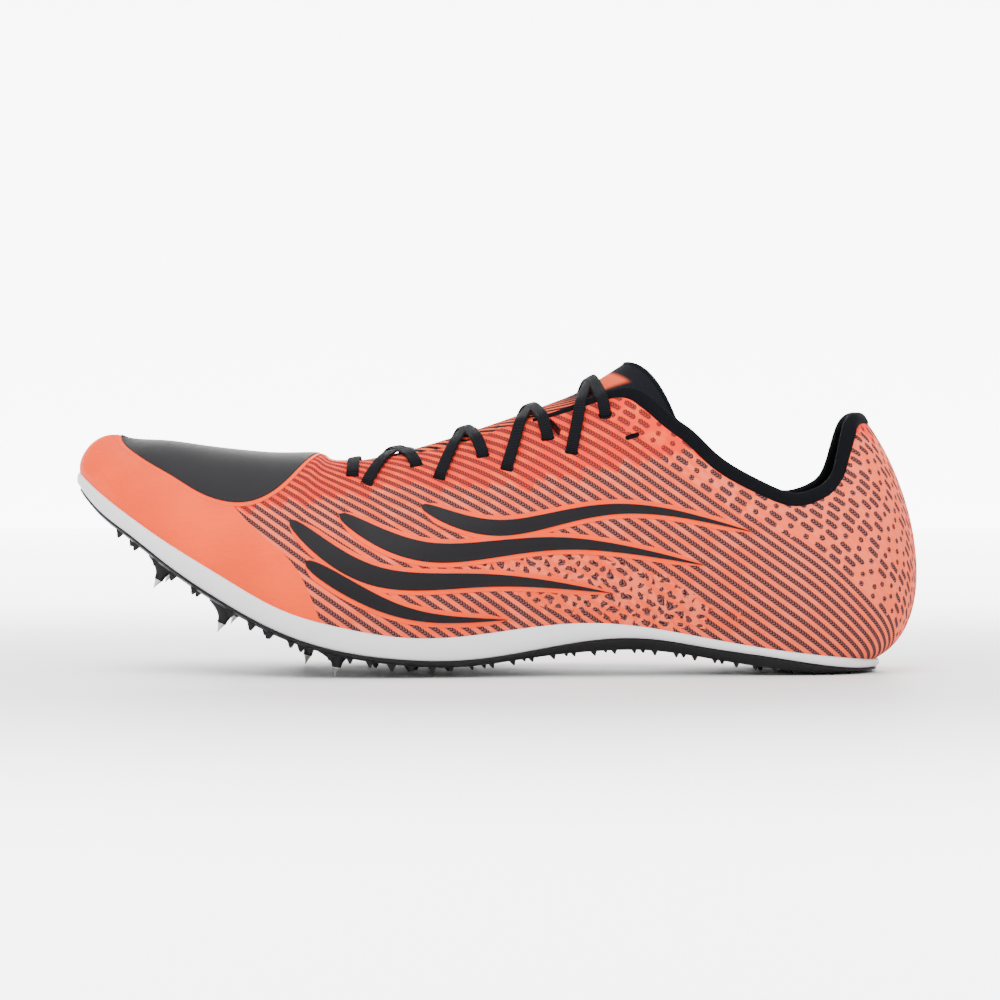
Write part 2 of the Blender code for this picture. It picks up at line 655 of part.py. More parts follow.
def pin_foot(tree, pin):
    """Where a pin's fin leaves the plate, the direction it points and its height."""
    foot, normal = under_plate(tree, place_x(pin.at), pin.across * BALL_WIDTH)
    down = Vector((PIN_LEAN * normal.x, 0, normal.z)).normalized()
    lowest = PIN_TIP * abs(down.x)
    to_floor = (foot.z - lowest) / -down.z - PIN_LENGTH - GAP
    return foot, down, to_floor if pin.stands else FIN_HEIGHT


def add_teeth(bm, tree):
    """Rows of small teeth along both edges of the plate, flat-ended lugs at the heel."""
    rows = [(side, inset, shift) for side in (LATERAL, MEDIAL) for inset, shift in TOOTH_ROWS]
    first, last = TOOTH_RANGE
    count = round((last - first) * LENGTH / TOOTH_PITCH)
    for side, inset, shift in rows:
        for k in range(count):
            at = first + (last - first) * (k + shift) / count
            edge = edge_point(side, at) - edge_normal(side, at) * inset
            near = min(hypot(edge.x - place_x(pin.at), edge.y - pin.across * BALL_WIDTH)
                       for pin in PINS)
            if near < 0.75 * FIN_LENGTH:
                continue
            foot, down = under_plate(tree, edge.x, edge.y)
            root = foot - down * TOOTH_ROOT
            if foot.z < 0.8 * TOOTH_HEIGHT:
                root = foot + Vector((0, 0, TOOTH_ROOT))
                cone(bm, root, Vector((foot.x, foot.y, 0)), 1.2 * TOOTH_SIZE, TOOTH_SIZE, 4)
            else:
                height = min(TOOTH_HEIGHT, foot.z - GAP)
                cone(bm, root, foot + down * height, TOOTH_SIZE, 0.18 * TOOTH_SIZE, 4)


def add_fins(bm, tree):
    """The webbed fin that carries each pin: a thorn, steep in front and drawn out behind."""
    end = PIN_RADIUS * 1.2
    for pin in PINS:
        foot, down, height = pin_foot(tree, pin)
        ahead = Vector((0, 1, 0)).cross(down).normalized()
        rings = []
        for depth in (-0.13, 0.2, 0.5, 0.8, 1.0):
            spread = (1 - max(0.0, depth)) ** 2
            half = end + (FIN_LENGTH / 2 - end) * spread
            wide = end + (FIN_WIDTH / 2 - end) * spread
            middle = foot + down * height * depth + ahead * (half - end) * FIN_DRAG
            rings.append([middle + ahead * half * cos(turned) + Vector((0, wide * sin(turned), 0))
                          for turned in np.linspace(0, 2 * pi, 8, endpoint=False)])
        loft(bm, rings)


def make_plate(parts, cutters, material):
    """The stiff outsole plate with its teeth, heel lugs and fins in one piece."""
    blank, tree = plate_blank()
    plate = add_object("outsole_plate", blank, parts, material)
    for name, add in (("teeth", add_teeth), ("fins", add_fins)):
        bm = bmesh.new()
        add(bm, tree)
        boolean(plate, add_object(name, bm, cutters), "UNION")
    return tree


def make_pins(tree, parts, material):
    """The steel pins, each on the end of its fin. The two lowest stand on the floor."""
    for number, pin in enumerate(PINS, 1):
        foot, down, height = pin_foot(tree, pin)
        seat = foot + down * (height + GAP)
        bm = bmesh.new()
        cone(bm, seat, seat + down * PIN_LENGTH, PIN_RADIUS, PIN_TIP, 8)
        add_object(f"pin_{number}", bm, parts, material)


def below(side, points, share, depth):
    """Point under a rib, at a share of its length and a depth into the shoe."""
    here, ahead = along(points, [share, share - 0.02])
    rise = here - ahead
    inwards = Vector((0, -side * rise.z, side * rise.y)).normalized()
    return here + inwards * depth


def make_tongue(parts, material):
    """The tongue: a thin half sleeve under the throat that rises above the collar."""
    places = range(len(TONGUE))
    at, height, row_of, tuck = (
        column(TONGUE, name, places) for name in ("at", "height", "row", "tuck"))
    rows = []
    for k in range(len(TONGUE)):
        x, row = place_x(at(k)), row_of(k)
        wall = CUFF_WALL - CUFF_RAISE if row < CUFF_END + 1 else UPPER_WALL
        centre = Vector((x, centre_y(x), TONGUE_HEIGHT * height(k)))
        halves = []
        for side in (LATERAL, MEDIAL):
            points = rib(side, row)
            reach = (TONGUE_LAP + EYESTAY_WIDTH * max(0.0, tuck(k))) / rib_length(points)
            rim = below(side, points, 1, wall + 2 * GAP)
            middle, hem = (below(side, points, 1 - share, wall + 4 * GAP)
                           for share in (reach / 2, reach))
            span = rim - centre
            half = [centre + Vector((span.x * s ** 2, span.y * s, span.z * s ** TONGUE_ARCH))
                    for s in (0.0, 0.25, 0.5, 0.72, 0.9, 1.0)]
            halves.append(half + [middle, hem])
        rows.append(halves[0][:0:-1] + halves[1])
    bm = add_grid(bmesh.new(), rows)
    face_outwards(bm, Vector((0, 0, 0)))
    return thicken(add_object("tongue", bm, parts, material), TONGUE_WALL)


def cover(things):
    """The outer faces of some objects, to lay the lace on."""
    bm = bmesh.new()
    for thing in things:
        seen = evaluated(thing)
        mesh = bpy.data.meshes.new("cover")
        seen.to_mesh(mesh)
        seen.free()
        bm.from_mesh(mesh)
        bpy.data.meshes.remove(mesh)
    tree = BVHTree.FromBMesh(bm)
    bm.free()
    return tree


def hole_angle(tree, hole, side):
    """Direction of a lace hole as seen along the shoe from its core."""
    way = Vector((0, -side, 0))
    hit = tree.ray_cast(Vector((place_x(hole.at), 0, hole.high * INSTEP_HEIGHT)) - way * LENGTH,
                        way)[0]
    return atan2(hit.z - CORE, side * hit.y) * side + (pi if side == LATERAL else 0)


def strand_path(tree, start, end):
    """A tight path over the throat from an outer to an inner hole: points and normals."""
    first, last = hole_angle(tree, start, LATERAL), hole_angle(tree, end, MEDIAL)
    step = (last - first) / LACE_STEPS
    points, reach, normals = [], [], []
    for k in range(LACE_STEPS + 1):
        x = place_x(start.at + (end.at - start.at) * k / LACE_STEPS)
        hits = [cast(tree, x + across * LACE_WIDTH, first + step * (k + ahead))
                for across in (-0.5, 0, 0.5) for ahead in (0, -0.4, 0.4)]
        reach.append(max(hit[0] for hit in hits) + LACE_CLEAR + LACE_THICK / 2)
        normals.append(sum((hit[1] for hit in hits), Vector()).normalized())
    for _ in range(LACE_STEPS):
        reach[1:-1] = [max(r, (a + b) / 2) for a, r, b in zip(reach, reach[1:], reach[2:])]
    for k, distance in enumerate(reach):
        x = place_x(start.at + (end.at - start.at) * k / LACE_STEPS)
        turned = first + step * k
        points.append(Vector((x, distance * cos(turned), CORE + distance * sin(turned))))
    return points, normals


def cast(tree, x, angle):
    """How far from the core the tree's outer face lies in a direction, and its normal."""
    way, centre = Vector((0, cos(angle), sin(angle))), Vector((x, 0, CORE))
    hit, normal = tree.ray_cast(centre + way * LENGTH, -way)[:2]
    return (hit - centre).length, normal


def strand(path, name, where, material=None):
    """A flat lace along a path, as a closed bar."""
    points, normals = path
    rings = []
    for k, (point, out) in enumerate(zip(points, normals)):
        ahead = (points[min(k + 1, LACE_STEPS)] - points[max(k - 1, 0)]).normalized()
        across = ahead.cross(out).normalized()
        out = across.cross(ahead)
        rings.append([point + across * u * LACE_WIDTH / 2 + out * v * LACE_THICK / 2
                      for u, v in ((-1, 0), (-0.8, 1), (0.8, 1), (1, 0), (0.8, -1), (-0.8, -1))])
    return add_object(name, loft(bmesh.new(), rings), where, material)


def make_laces(parts, cutters, under, material):
    """The lace over the throat: a bar in front and four crossings behind it."""
    tree = cover(under)
    for number, pairs in enumerate(CROSSINGS, 1):
        name = f"lace_{number}"
        paths = [strand_path(tree, HOLES[a], HOLES[b]) for a, b in pairs]
        bar = strand(paths[0], name, parts, material)
        for path in paths[1:]:
            boolean(bar, strand(path, name + "_crossing", cutters), "UNION")


def stand_on_floor(things):
    """Move everything so that the lowest point is at Z 0 and the middle at X and Y 0."""
    low, high = np.full(3, np.inf), np.full(3, -np.inf)
    for thing in things:
        bm = evaluated(thing)
        points = np.array([v.co[:] for v in bm.verts])
        bm.free()
        low, high = np.minimum(low, points.min(0)), np.maximum(high, points.max(0))
    return Vector((-(low[0] + high[0]) / 2, -(low[1] + high[1]) / 2, -low[2]))


def main():
    """Build the shoe."""
    for old in list(bpy.data.objects):
        bpy.data.objects.remove(old, do_unlink=True)
    parts, cutters = collection("track_spike_shoe"), collection("cutters")
    black_textile = finish("black_textile", BLACK_TEXTILE)
    black_film = finish("black_film", BLACK_FILM)
    orange_film = finish("orange_film", ORANGE_FILM)
    upper = make_upper(parts, finish("orange_knit", ORANGE_KNIT))
    make_cuff(parts, cutters, black_textile)
    eyestay = make_eyestay(parts, orange_film)
    tongue = make_tongue(parts, black_textile)
    make_midsole(parts, finish("white_foam", WHITE_FOAM))
    make_insole(parts, finish("grey_textile", GREY_TEXTILE))
    tree = make_plate(parts, cutters, finish("black_plate", BLACK_PLATE))
    make_pins(tree, parts, finish("steel", STEEL))
    film("toe_film", side_outline(TOE_FILM), 0, parts, cutters, black_film)
    film("toe_rand", side_outline(RAND), 0, parts, cutters, orange_film)
    for side, word in ((LATERAL, "outer"), (MEDIAL, "inner")):
        for number, ribbon in enumerate(RIBBONS, 1):
            film(f"ribbon_{word}_{number}", ribbon_outline(ribbon), side, parts, cutters,
                 black_film)
    make_laces(parts, cutters, [upper, eyestay, tongue], black_textile)
    shift = stand_on_floor(parts.objects)
    for thing in list(parts.objects) + list(cutters.objects):
        thing.location += shift


main()
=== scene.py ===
from collections import namedtuple
from math import acos, atan2, cos, exp, hypot, pi, radians, sin, tan

import bpy
import numpy as np
from bpy.props import FloatProperty, FloatVectorProperty, IntProperty, PointerProperty
from mathutils import Matrix, Vector
from mathutils.bvhtree import BVHTree


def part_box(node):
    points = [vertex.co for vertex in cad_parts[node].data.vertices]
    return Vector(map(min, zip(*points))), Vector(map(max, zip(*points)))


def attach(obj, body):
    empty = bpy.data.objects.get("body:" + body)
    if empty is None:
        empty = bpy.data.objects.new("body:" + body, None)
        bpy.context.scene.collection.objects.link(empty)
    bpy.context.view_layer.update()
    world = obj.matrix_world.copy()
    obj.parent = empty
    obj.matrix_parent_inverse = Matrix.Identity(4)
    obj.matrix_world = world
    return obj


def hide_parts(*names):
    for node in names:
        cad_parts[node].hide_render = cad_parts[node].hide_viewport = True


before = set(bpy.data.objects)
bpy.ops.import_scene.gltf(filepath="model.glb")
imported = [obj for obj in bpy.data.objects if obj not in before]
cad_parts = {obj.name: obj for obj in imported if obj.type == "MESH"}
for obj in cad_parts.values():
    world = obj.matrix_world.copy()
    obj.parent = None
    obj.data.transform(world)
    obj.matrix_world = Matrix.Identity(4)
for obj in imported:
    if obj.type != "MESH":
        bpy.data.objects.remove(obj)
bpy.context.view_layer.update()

bl_info = {
    "name": "Track spike shoe",
    "version": (1, 0, 0),
    "blender": (4, 5, 0),
    "location": "View3D > Sidebar > Shoe",
    "description": "Dresses the solids of a laced low sprint spike in knit, film, foam and steel",
    "category": "Add Mesh",
}

BODY = "root"

# The shoe's own sizes, in metres, as in the solids
LENGTH = 0.285
BALL_WIDTH = 0.0935
HEEL_HEIGHT = 0.0873
INSTEP_HEIGHT = 0.0956
TONGUE_HEIGHT = 0.1046
TOE_LIFT = 0.0672
ARCH_LIFT = 0.003
TOE_IN = 0.006
UPPER_WALL = 0.0018
CUFF_WALL = 0.0028
EYESTAY_WIDTH = 0.013
TONGUE_WALL = 0.0024
TONGUE_LAP = 0.003
TONGUE_ARCH = 2.6
MIDSOLE_THICK = 0.0084
MIDSOLE_LEDGE = 0.0008
PLATE_THICK = 0.0034
PLATE_INSET = 0.0018
HEEL_LUG = 0.0007
GAP = 0.0003
FIN_HEIGHT = 0.0052
FIN_LENGTH = 0.0105
FIN_WIDTH = 0.0042
FIN_DRAG = 0.45
PIN_LENGTH = 0.0031
PIN_RADIUS = 0.0013
PIN_LEAN = 0.8
MM = 0.001

# Where the teeth under the plate begin and end, and where they turn small, as shares of LENGTH
TEETH_START, TEETH_END, SMALL_TEETH_BEHIND = 0.080, 0.975, 0.56
PIN_CLEARANCE = 0.0066     # bare ground round a pin
MIDDLE_CLEARANCE = 0.004   # bare ground beside the sole's centre line
TOOTH_FOOT = 0.0015        # half length of a tooth of size one
KEEPER_STITCHES = 13
STITCH_RADIUS = 0.00016
FULL_CIRCLE = 2 * pi
BARBS = 3.4                # thread barbs to one stripe's spacing

# The knit's stripes bend towards the heel's back and the toe's tip, from a distance along on
TAIL_START, TAIL_BEND, NOSE_START, NOSE_BEND = 0.100, 5.0, 0.060, 1.2
PALE_BEHIND, PALE_AHEAD = 0.085, 0.050

# How far the upper's edge lies under the binding, and the lining's reach down and up
UNDER_BINDING, UNDER_BINDING_END = 0.0032, 0.0004
LINING_DEPTH, LINING_TOP, LINING_WALL = 0.020, 0.002, 0.0011

# How far laces stand off the shoe and dip into it at their ends, and their slits
LACE_AIR, LACE_DIP, LACE_STEPS = 0.0003, 0.0034, 56
LACE_SLIT, SPARE_SLIT = (0.0038, 0.0009), (0.0042, 0.0010)

# How far the films stand out of the skin and reach into it, and where the toe's films run
FILM_UP, FILM_IN, RAND_UP, RAND_IN, THROAT_FILM_UP = 0.0004, 0.0004, 0.00028, 0.0005, 0.0003
RAND_START, THROAT_FILM_ROWS, THROAT_FILM_WIDTH = 21.0, (21.6, 24.15), 0.0024

# Profiles: distance out and height of a slit's rim, height and lift along a stitch,
# depth and radius along a pin, height, size and lean of a tooth, level and outset of the foam
SLIT_RIM = [(0.0, 0.00005), (0.0001, 0.00022), (0.00025, 0.00022), (0.0004, -0.0002)]
STITCH = [(-0.0013, -0.0002), (-0.0011, 0.0001), (-0.0006, 0.0002), (0.0, 0.00022),
          (0.0006, 0.0002), (0.0011, 0.0001), (0.0013, -0.0002)]
PIN_SHAPE = [(-0.0004, 0.90), (0.0, 1.0), (0.0003, 1.0), (0.00045, 0.90), (0.0012, 0.62),
             (0.0020, 0.38), (0.0028, 0.18), (0.00325, 0.07), (0.0034, 0.0)]
TOOTH_SHAPE = [(-0.5, 1.05, 0.0), (0.0, 1.0, 0.0), (0.08, 0.9, 0.03), (0.9, 0.30, 0.30),
               (1.0, 0.16, 0.32)]
FOAM_SIDE = [(0.0, 0.0002), (0.03, 0.0006), (0.10, 0.00095), (0.25, 0.0012), (0.5, 0.0013),
             (0.75, 0.0010), (0.92, 0.0004), (1.0, -0.0004)]
FOAM_LIP = -0.0016

# The studio
LENS, SENSOR = 137.77, 36
CAMERA_OFF, CAMERA_AWAY, CAMERA_HIGH, CAMERA_PITCH = 0.0006, 1.300, 0.085, 1.2
CARD_AWAY, CARD_HALF, CARD_HIGH, CARD_STRENGTH = 1.7, 1.1, 1.3, 5.0
FLOOR_REACH, FLOOR_GLOW, WORLD_STRENGTH = 3, 3.6, 0.95
LIGHTS = [("key", (-0.3, -0.8, 1.4), 1.0, 26.0), ("fill", (0.9, -1.2, 0.5), 1.2, 8.0),
          ("top", (0.0, 0.4, 1.5), 1.2, 12.0)]
LOOK_AT = (0, 0, 0.04)

LATERAL, MEDIAL = -1, 1    # outer and inner side of the foot, as signs of Y

# The sole: distance from the heel, outer and inner half width, edge height, midsole
# height, plate height and arch, as shares of the named sizes.
SoleRow = namedtuple("SoleRow", "at outer inner edge band plate arch")
SOLE = [SoleRow(*row) for row in [
    (0.0505, 0.000, 0.000, 0.064, 0.31, 0.22, 0.0),
    (0.0790, 0.235, 0.220, 0.079, 0.38, 0.30, 0.0),
    (0.1210, 0.308, 0.287, 0.099, 0.38, 0.62, 0.0),
    (0.1840, 0.334, 0.304, 0.134, 0.32, 0.94, 0.1),
    (0.2540, 0.332, 0.278, 0.185, 0.38, 0.88, 0.5),
    (0.3250, 0.332, 0.256, 0.239, 0.45, 0.97, 0.9),
    (0.3880, 0.349, 0.264, 0.263, 0.68, 0.94, 1.0),
    (0.4650, 0.390, 0.324, 0.243, 0.93, 0.56, 0.7),
    (0.5420, 0.448, 0.410, 0.204, 0.94, 0.50, 0.3),
    (0.6120, 0.484, 0.468, 0.202, 0.87, 0.42, 0.1),
    (0.6820, 0.499, 0.499, 0.252, 0.94, 0.36, -0.3),
    (0.7530, 0.480, 0.497, 0.343, 0.92, 0.36, -0.5),
    (0.8230, 0.418, 0.460, 0.505, 0.99, 0.36, -0.3),
    (0.8860, 0.335, 0.404, 0.661, 0.88, 0.36, 0.0),
    (0.9350, 0.242, 0.334, 0.797, 0.76, 0.33, 0.0),
    (0.9770, 0.105, 0.235, 0.923, 0.76, 0.30, 0.0),
    (0.9993, -0.064, 0.064, 1.000, 0.62, 0.30, 0.0),
]]

# The upper's ribs, from the sole's edge to the collar, the throat or the ridge of the toes.
Section = namedtuple(
    "Section", "foot top half by_heel by_instep low_out low_up high_out high_down")
SECTIONS = [Section(*row) for row in [
    (0.0505, 0.070, 0.000, 0.954, 0.000, 0.258, 0.14, 0.210, 0.28),
    (0.0540, 0.080, 0.065, 0.952, 0.000, 0.245, 0.15, 0.214, 0.26),
    (0.0640, 0.089, 0.112, 0.925, 0.000, 0.224, 0.17, 0.205, 0.21),
    (0.0790, 0.097, 0.152, 0.860, 0.000, 0.188, 0.19, 0.180, 0.16),
    (0.1000, 0.106, 0.200, 0.735, 0.000, 0.124, 0.24, 0.138, 0.15),
    (0.1230, 0.118, 0.236, 0.660, 0.000, 0.084, 0.30, 0.110, 0.21),
    (0.1450, 0.139, 0.263, 0.618, 0.000, 0.062, 0.33, 0.092, 0.28),
    (0.1690, 0.161, 0.280, 0.604, 0.000, 0.050, 0.34, 0.081, 0.31),
    (0.1980, 0.189, 0.289, 0.612, 0.014, 0.042, 0.34, 0.074, 0.32),
    (0.2270, 0.217, 0.289, 0.560, 0.090, 0.040, 0.34, 0.070, 0.32),
    (0.2570, 0.245, 0.282, 0.480, 0.204, 0.040, 0.34, 0.070, 0.32),
    (0.2860, 0.270, 0.273, 0.380, 0.352, 0.040, 0.33, 0.070, 0.31),
    (0.3140, 0.292, 0.261, 0.250, 0.505, 0.040, 0.32, 0.074, 0.30),
    (0.3400, 0.314, 0.247, 0.130, 0.660, 0.038, 0.32, 0.082, 0.29),
    (0.3640, 0.335, 0.231, 0.050, 0.768, 0.036, 0.32, 0.092, 0.28),
    (0.3900, 0.358, 0.208, 0.000, 0.817, 0.034, 0.32, 0.106, 0.27),
    (0.4250, 0.390, 0.180, 0.000, 0.788, 0.032, 0.32, 0.124, 0.25),
    (0.4700, 0.438, 0.162, 0.000, 0.745, 0.032, 0.32, 0.142, 0.22),
    (0.5200, 0.493, 0.146, 0.000, 0.712, 0.034, 0.33, 0.156, 0.17),
    (0.5700, 0.548, 0.130, 0.000, 0.664, 0.037, 0.34, 0.168, 0.12),
    (0.6200, 0.602, 0.114, 0.000, 0.626, 0.040, 0.35, 0.178, 0.08),
    (0.6650, 0.648, 0.096, 0.000, 0.584, 0.042, 0.37, 0.192, 0.05),
    (0.7050, 0.681, 0.072, 0.000, 0.550, 0.043, 0.39, 0.212, 0.03),
    (0.7350, 0.700, 0.040, 0.000, 0.528, 0.043, 0.41, 0.236, 0.01),
    (0.7580, 0.7085, 0.000, 0.000, 0.517, 0.043, 0.42, 0.262, 0.00),
    (0.7860, 0.732, 0.000, 0.000, 0.477, 0.043, 0.43, 0.254, 0.00),
    (0.8200, 0.768, 0.000, 0.000, 0.418, 0.043, 0.44, 0.236, 0.00),
    (0.8560, 0.808, 0.000, 0.000, 0.366, 0.042, 0.46, 0.210, 0.00),
    (0.8920, 0.849, 0.000, 0.000, 0.316, 0.040, 0.48, 0.180, 0.00),
    (0.9280, 0.889, 0.000, 0.000, 0.262, 0.035, 0.50, 0.150, 0.00),
    (0.9620, 0.920, 0.000, 0.000, 0.198, 0.028, 0.50, 0.122, 0.00),
    (0.9870, 0.939, 0.000, 0.000, 0.146, 0.021, 0.49, 0.104, 0.00),
    (0.9993, 0.946, 0.000, 0.000, 0.122, 0.016, 0.48, 0.096, 0.00),
]]
LAST_ROW = len(SECTIONS) - 1
CUFF_END = 15              # row at the collar's front corner
BINDING_END = 17.4         # row where its binding has run out along the throat
THROAT_END = 24

TongueRow = namedtuple("TongueRow", "row at height tuck")
TONGUE = [TongueRow(*row) for row in [
    (11.9, 0.348, 1.000, 0.00),
    (12.8, 0.362, 0.975, 0.25),
    (13.9, 0.381, 0.942, 0.55),
    (15.0, 0.405, 0.903, 0.80),
    (16.0, 0.432, 0.872, 0.90),
    (17.0, 0.468, 0.836, 0.95),
    (18.0, 0.512, 0.794, 0.95),
    (19.0, 0.558, 0.753, 0.95),
    (20.0, 0.604, 0.716, 0.95),
    (21.0, 0.646, 0.690, 0.95),
    (22.0, 0.676, 0.675, 0.95),
    (23.0, 0.698, 0.668, 0.95),
]]

Hole = namedtuple("Hole", "at high")
HOLES = [
    Hole(0.671, 0.690), Hole(0.655, 0.661), Hole(0.595, 0.725), Hole(0.570, 0.681),
    Hole(0.517, 0.757), Hole(0.491, 0.711), Hole(0.441, 0.815), Hole(0.415, 0.768),
    Hole(0.374, 0.892),
]
SPARE_HOLE = Hole(0.3435, 0.832)
CROSSINGS = [[(0, 0)], [(1, 2), (2, 1)], [(3, 4), (4, 3)], [(5, 6), (6, 5)], [(7, 8), (8, 7)]]

Pin = namedtuple("Pin", "at across stands")
PINS = [
    Pin(0.890, -0.205, False), Pin(0.8145, -0.335, False), Pin(0.685, -0.400, True),
    Pin(0.890, 0.270, False), Pin(0.8145, 0.370, False), Pin(0.727, 0.310, True),
]

# Rows of teeth under the plate: distance in from the edge, start, spacing and size
TEETH_ROWS = [(0.0028, 0.0, 0.0066, 0.95), (0.0100, 0.5, 0.0125, 1.15), (0.0190, 0.2, 0.0140, 1.0)]

Ribbon = namedtuple("Ribbon", "at high width")
RIBBONS = [
    Ribbon((0.590, 0.490, 0.360, 0.205), (0.590, 0.515, 0.580, 0.500), 0.0052),
    Ribbon((0.685, 0.575, 0.430, 0.260), (0.560, 0.430, 0.460, 0.385), 0.0064),
    Ribbon((0.742, 0.640, 0.510, 0.370), (0.540, 0.350, 0.335, 0.290), 0.0064),
    Ribbon((0.722, 0.665, 0.590, 0.490), (0.400, 0.300, 0.215, 0.200), 0.0052),
]
# Edge of the black toe film from the throat to the toe: row and share of the rib
FILM_EDGE = [
    (24.25, 1.000), (24.29, 0.900), (24.38, 0.790), (24.55, 0.672), (24.82, 0.570),
    (25.20, 0.490), (25.65, 0.434), (26.20, 0.402), (26.80, 0.400), (27.40, 0.427),
    (28.00, 0.466), (28.60, 0.508), (29.10, 0.562), (29.60, 0.638), (30.10, 0.722),
    (30.55, 0.794), (30.90, 0.847), (31.20, 0.882), (31.60, 0.911), (32.00, 0.934),
]
# Upper edge of the rand seen from the side, as shares of LENGTH and INSTEP_HEIGHT
RAND_EDGE = [
    (0.660, -0.15), (0.690, 0.080), (0.725, 0.340), (0.770, 0.480), (0.815, 0.610),
    (0.850, 0.690), (0.900, 0.760), (0.940, 0.850), (0.980, 0.960), (1.020, 1.050),
]


class ShoeSizes(bpy.types.PropertyGroup):
    """Sizes of what is laid on the solids."""

    stripe_rise: FloatProperty(
        name="Stripe spacing", description="Height from one knitted stripe to the next",
        default=0.00367, unit="LENGTH")
    stripe_slope: FloatProperty(
        name="Stripe slope", description="How steeply the stripes fall towards the heel",
        default=radians(35), subtype="ANGLE")
    film: FloatProperty(
        name="Film height", description="How far the black films stand out",
        default=0.0006, unit="LENGTH")
    film_border: FloatProperty(
        name="Film border", description="Width of the orange edge round a black film",
        default=0.0015, unit="LENGTH")
    lace_width: FloatProperty(
        name="Lace width", description="Width of the flat lace", default=0.0041, unit="LENGTH")
    lace_thick: FloatProperty(
        name="Lace thickness", description="Thickness of the flat lace",
        default=0.0010, unit="LENGTH")
    tooth: FloatProperty(
        name="Tooth height", description="Height of the small teeth under the plate",
        default=0.0021, unit="LENGTH")
    seed: IntProperty(
        name="Seed", description="Picks the small differences between teeth", default=4)


def colour(name, description, value):
    """A colour property with its default."""
    return FloatVectorProperty(
        name=name, description=description, subtype="COLOR", size=3, min=0, max=1, default=value)


class ShoeColours(bpy.types.PropertyGroup):
    """Colours of the shoe, as linear red, green and blue."""

    knit: colour("Knit", "Ridges of the knitted upper", (0.98, 0.088, 0.018))
    knit_bright: colour("Bright knit", "Ridges beside the laces", (0.95, 0.030, 0.004))
    knit_pale: colour("Pale knit", "Ridges at the heel and the toes", (0.98, 0.150, 0.066))
    mesh: colour("Mesh", "See-through mesh between the ridges", (0.026, 0.008, 0.009))
    braid: colour("Braid", "Threads that cross the mesh", (0.235, 0.098, 0.092))
    film_orange: colour("Orange film", "Toe rand and film borders", (1.0, 0.068, 0.004))
    film_black: colour("Black film", "Toe film and ribbons", (0.0075, 0.0065, 0.0080))
    textile: colour("Black textile", "Collar, laces and lining", (0.0024, 0.0026, 0.0036))
    foam: colour("Foam", "Midsole band", (0.78, 0.785, 0.81))
    plate: colour("Plate", "Outsole plate", (0.0060, 0.0064, 0.0070))
    steel: colour("Steel", "Spike pins", (0.56, 0.53, 0.48))
    insole: colour("Insole", "Cloth of the sheet inside", (0.035, 0.036, 0.040))


# Curves and the shoe's own surfaces


def spline(places, values):
    """Natural cubic spline through the values, as a function of the place."""
    x, y = np.asarray(places, float), np.asarray(values, float)
    n, h, rise = len(x), np.diff(x), np.diff(y) / np.diff(x)
    system, right = np.eye(n), np.zeros(n)
    for i in range(1, n - 1):
        system[i, i - 1:i + 2] = h[i - 1], 2 * (h[i - 1] + h[i]), h[i]
        right[i] = 6 * (rise[i] - rise[i - 1])
    bend = np.linalg.solve(system, right)

    def value(place):
        i = np.clip(np.searchsorted(x, place) - 1, 0, n - 2)
        a, b = (x[i + 1] - place) / h[i], (place - x[i]) / h[i]
        curved = (a ** 3 - a) * bend[i] + (b ** 3 - b) * bend[i + 1]
        return a * y[i] + b * y[i + 1] + curved * h[i] ** 2 / 6

    return value


def column(rows, name, places):
    """One column of a table as a spline over the given places."""
    return spline(places, [getattr(row, name) for row in rows])


def place_x(at):
    """X of a distance from the heel that is a share of LENGTH."""
    return LENGTH * (0.5 - at)


def centre_y(x):
    """Y of the centre line, which swings to the inner side at the toe."""
    toe = max(0.0, (-0.2 * LENGTH - x) / (0.3 * LENGTH))
    return TOE_IN * toe ** 1.6


SOLE_START, SOLE_END = SOLE[0].at, SOLE[-1].at


def turn(at):
    """Angle along the sole, 0 at the heel and pi at the toe."""
    share = (at - SOLE_START) / (SOLE_END - SOLE_START)
    return acos(min(1.0, max(-1.0, 1 - 2 * share)))


SOLE_TURNS = [turn(row.at) for row in SOLE]
OUTLINE = {LATERAL: column(SOLE, "outer", SOLE_TURNS), MEDIAL: column(SOLE, "inner", SOLE_TURNS)}
EDGE, BAND, PLATE, ARCH = (
    column(SOLE, name, [row.at for row in SOLE]) for name in ("edge", "band", "plate", "arch"))


def edge_point(side, at):
    """Point of the sole's edge, where upper and midsole meet."""
    y = side * BALL_WIDTH * OUTLINE[side](turn(at))
    z = TOE_LIFT * EDGE(at) + (ARCH_LIFT * ARCH(at) if side == MEDIAL else 0.0)
    return Vector((place_x(at), y, z))


def place_at(angle):
    """The share of LENGTH at an angle along the sole."""
    return SOLE_START + (SOLE_END - SOLE_START) * (1 - cos(angle)) / 2


def edge_normal(side, at):
    """Direction out of the sole's edge, seen from above."""
    angle, step = turn(at), 0.02
    ends = []
    for there in (angle - step, angle + step):
        past_end = there < 0 or there > pi
        folded = abs(there) if there < pi else 2 * pi - there
        ends.append(edge_point(-side if past_end else side, place_at(folded)))
    run = ends[1] - ends[0]
    return Vector((run.y * side, -run.x * side, 0)).normalized()


RIB = {name: column(SECTIONS, name, list(range(len(SECTIONS)))) for name in Section._fields}


def ridge_slope(row):
    """How steeply the ridge over the toes climbs, which both sides share there."""
    if row < THROAT_END - 2:
        return 0.0
    ends = [max(row - 0.3, THROAT_END - 2), min(row + 0.3, LAST_ROW)]
    places = [place_x(RIB["top"](end)) for end in ends]
    rises = []
    for end in ends:
        foot_at = min(SOLE_END, max(SOLE_START, RIB["foot"](end)))
        rises.append(HEEL_HEIGHT * RIB["by_heel"](end) + INSTEP_HEIGHT * RIB["by_instep"](end)
                     + TOE_LIFT * EDGE(foot_at))
    slope = (rises[1] - rises[0]) / (places[1] - places[0])
    return slope * min(1.0, (row - THROAT_END + 2) / 2)


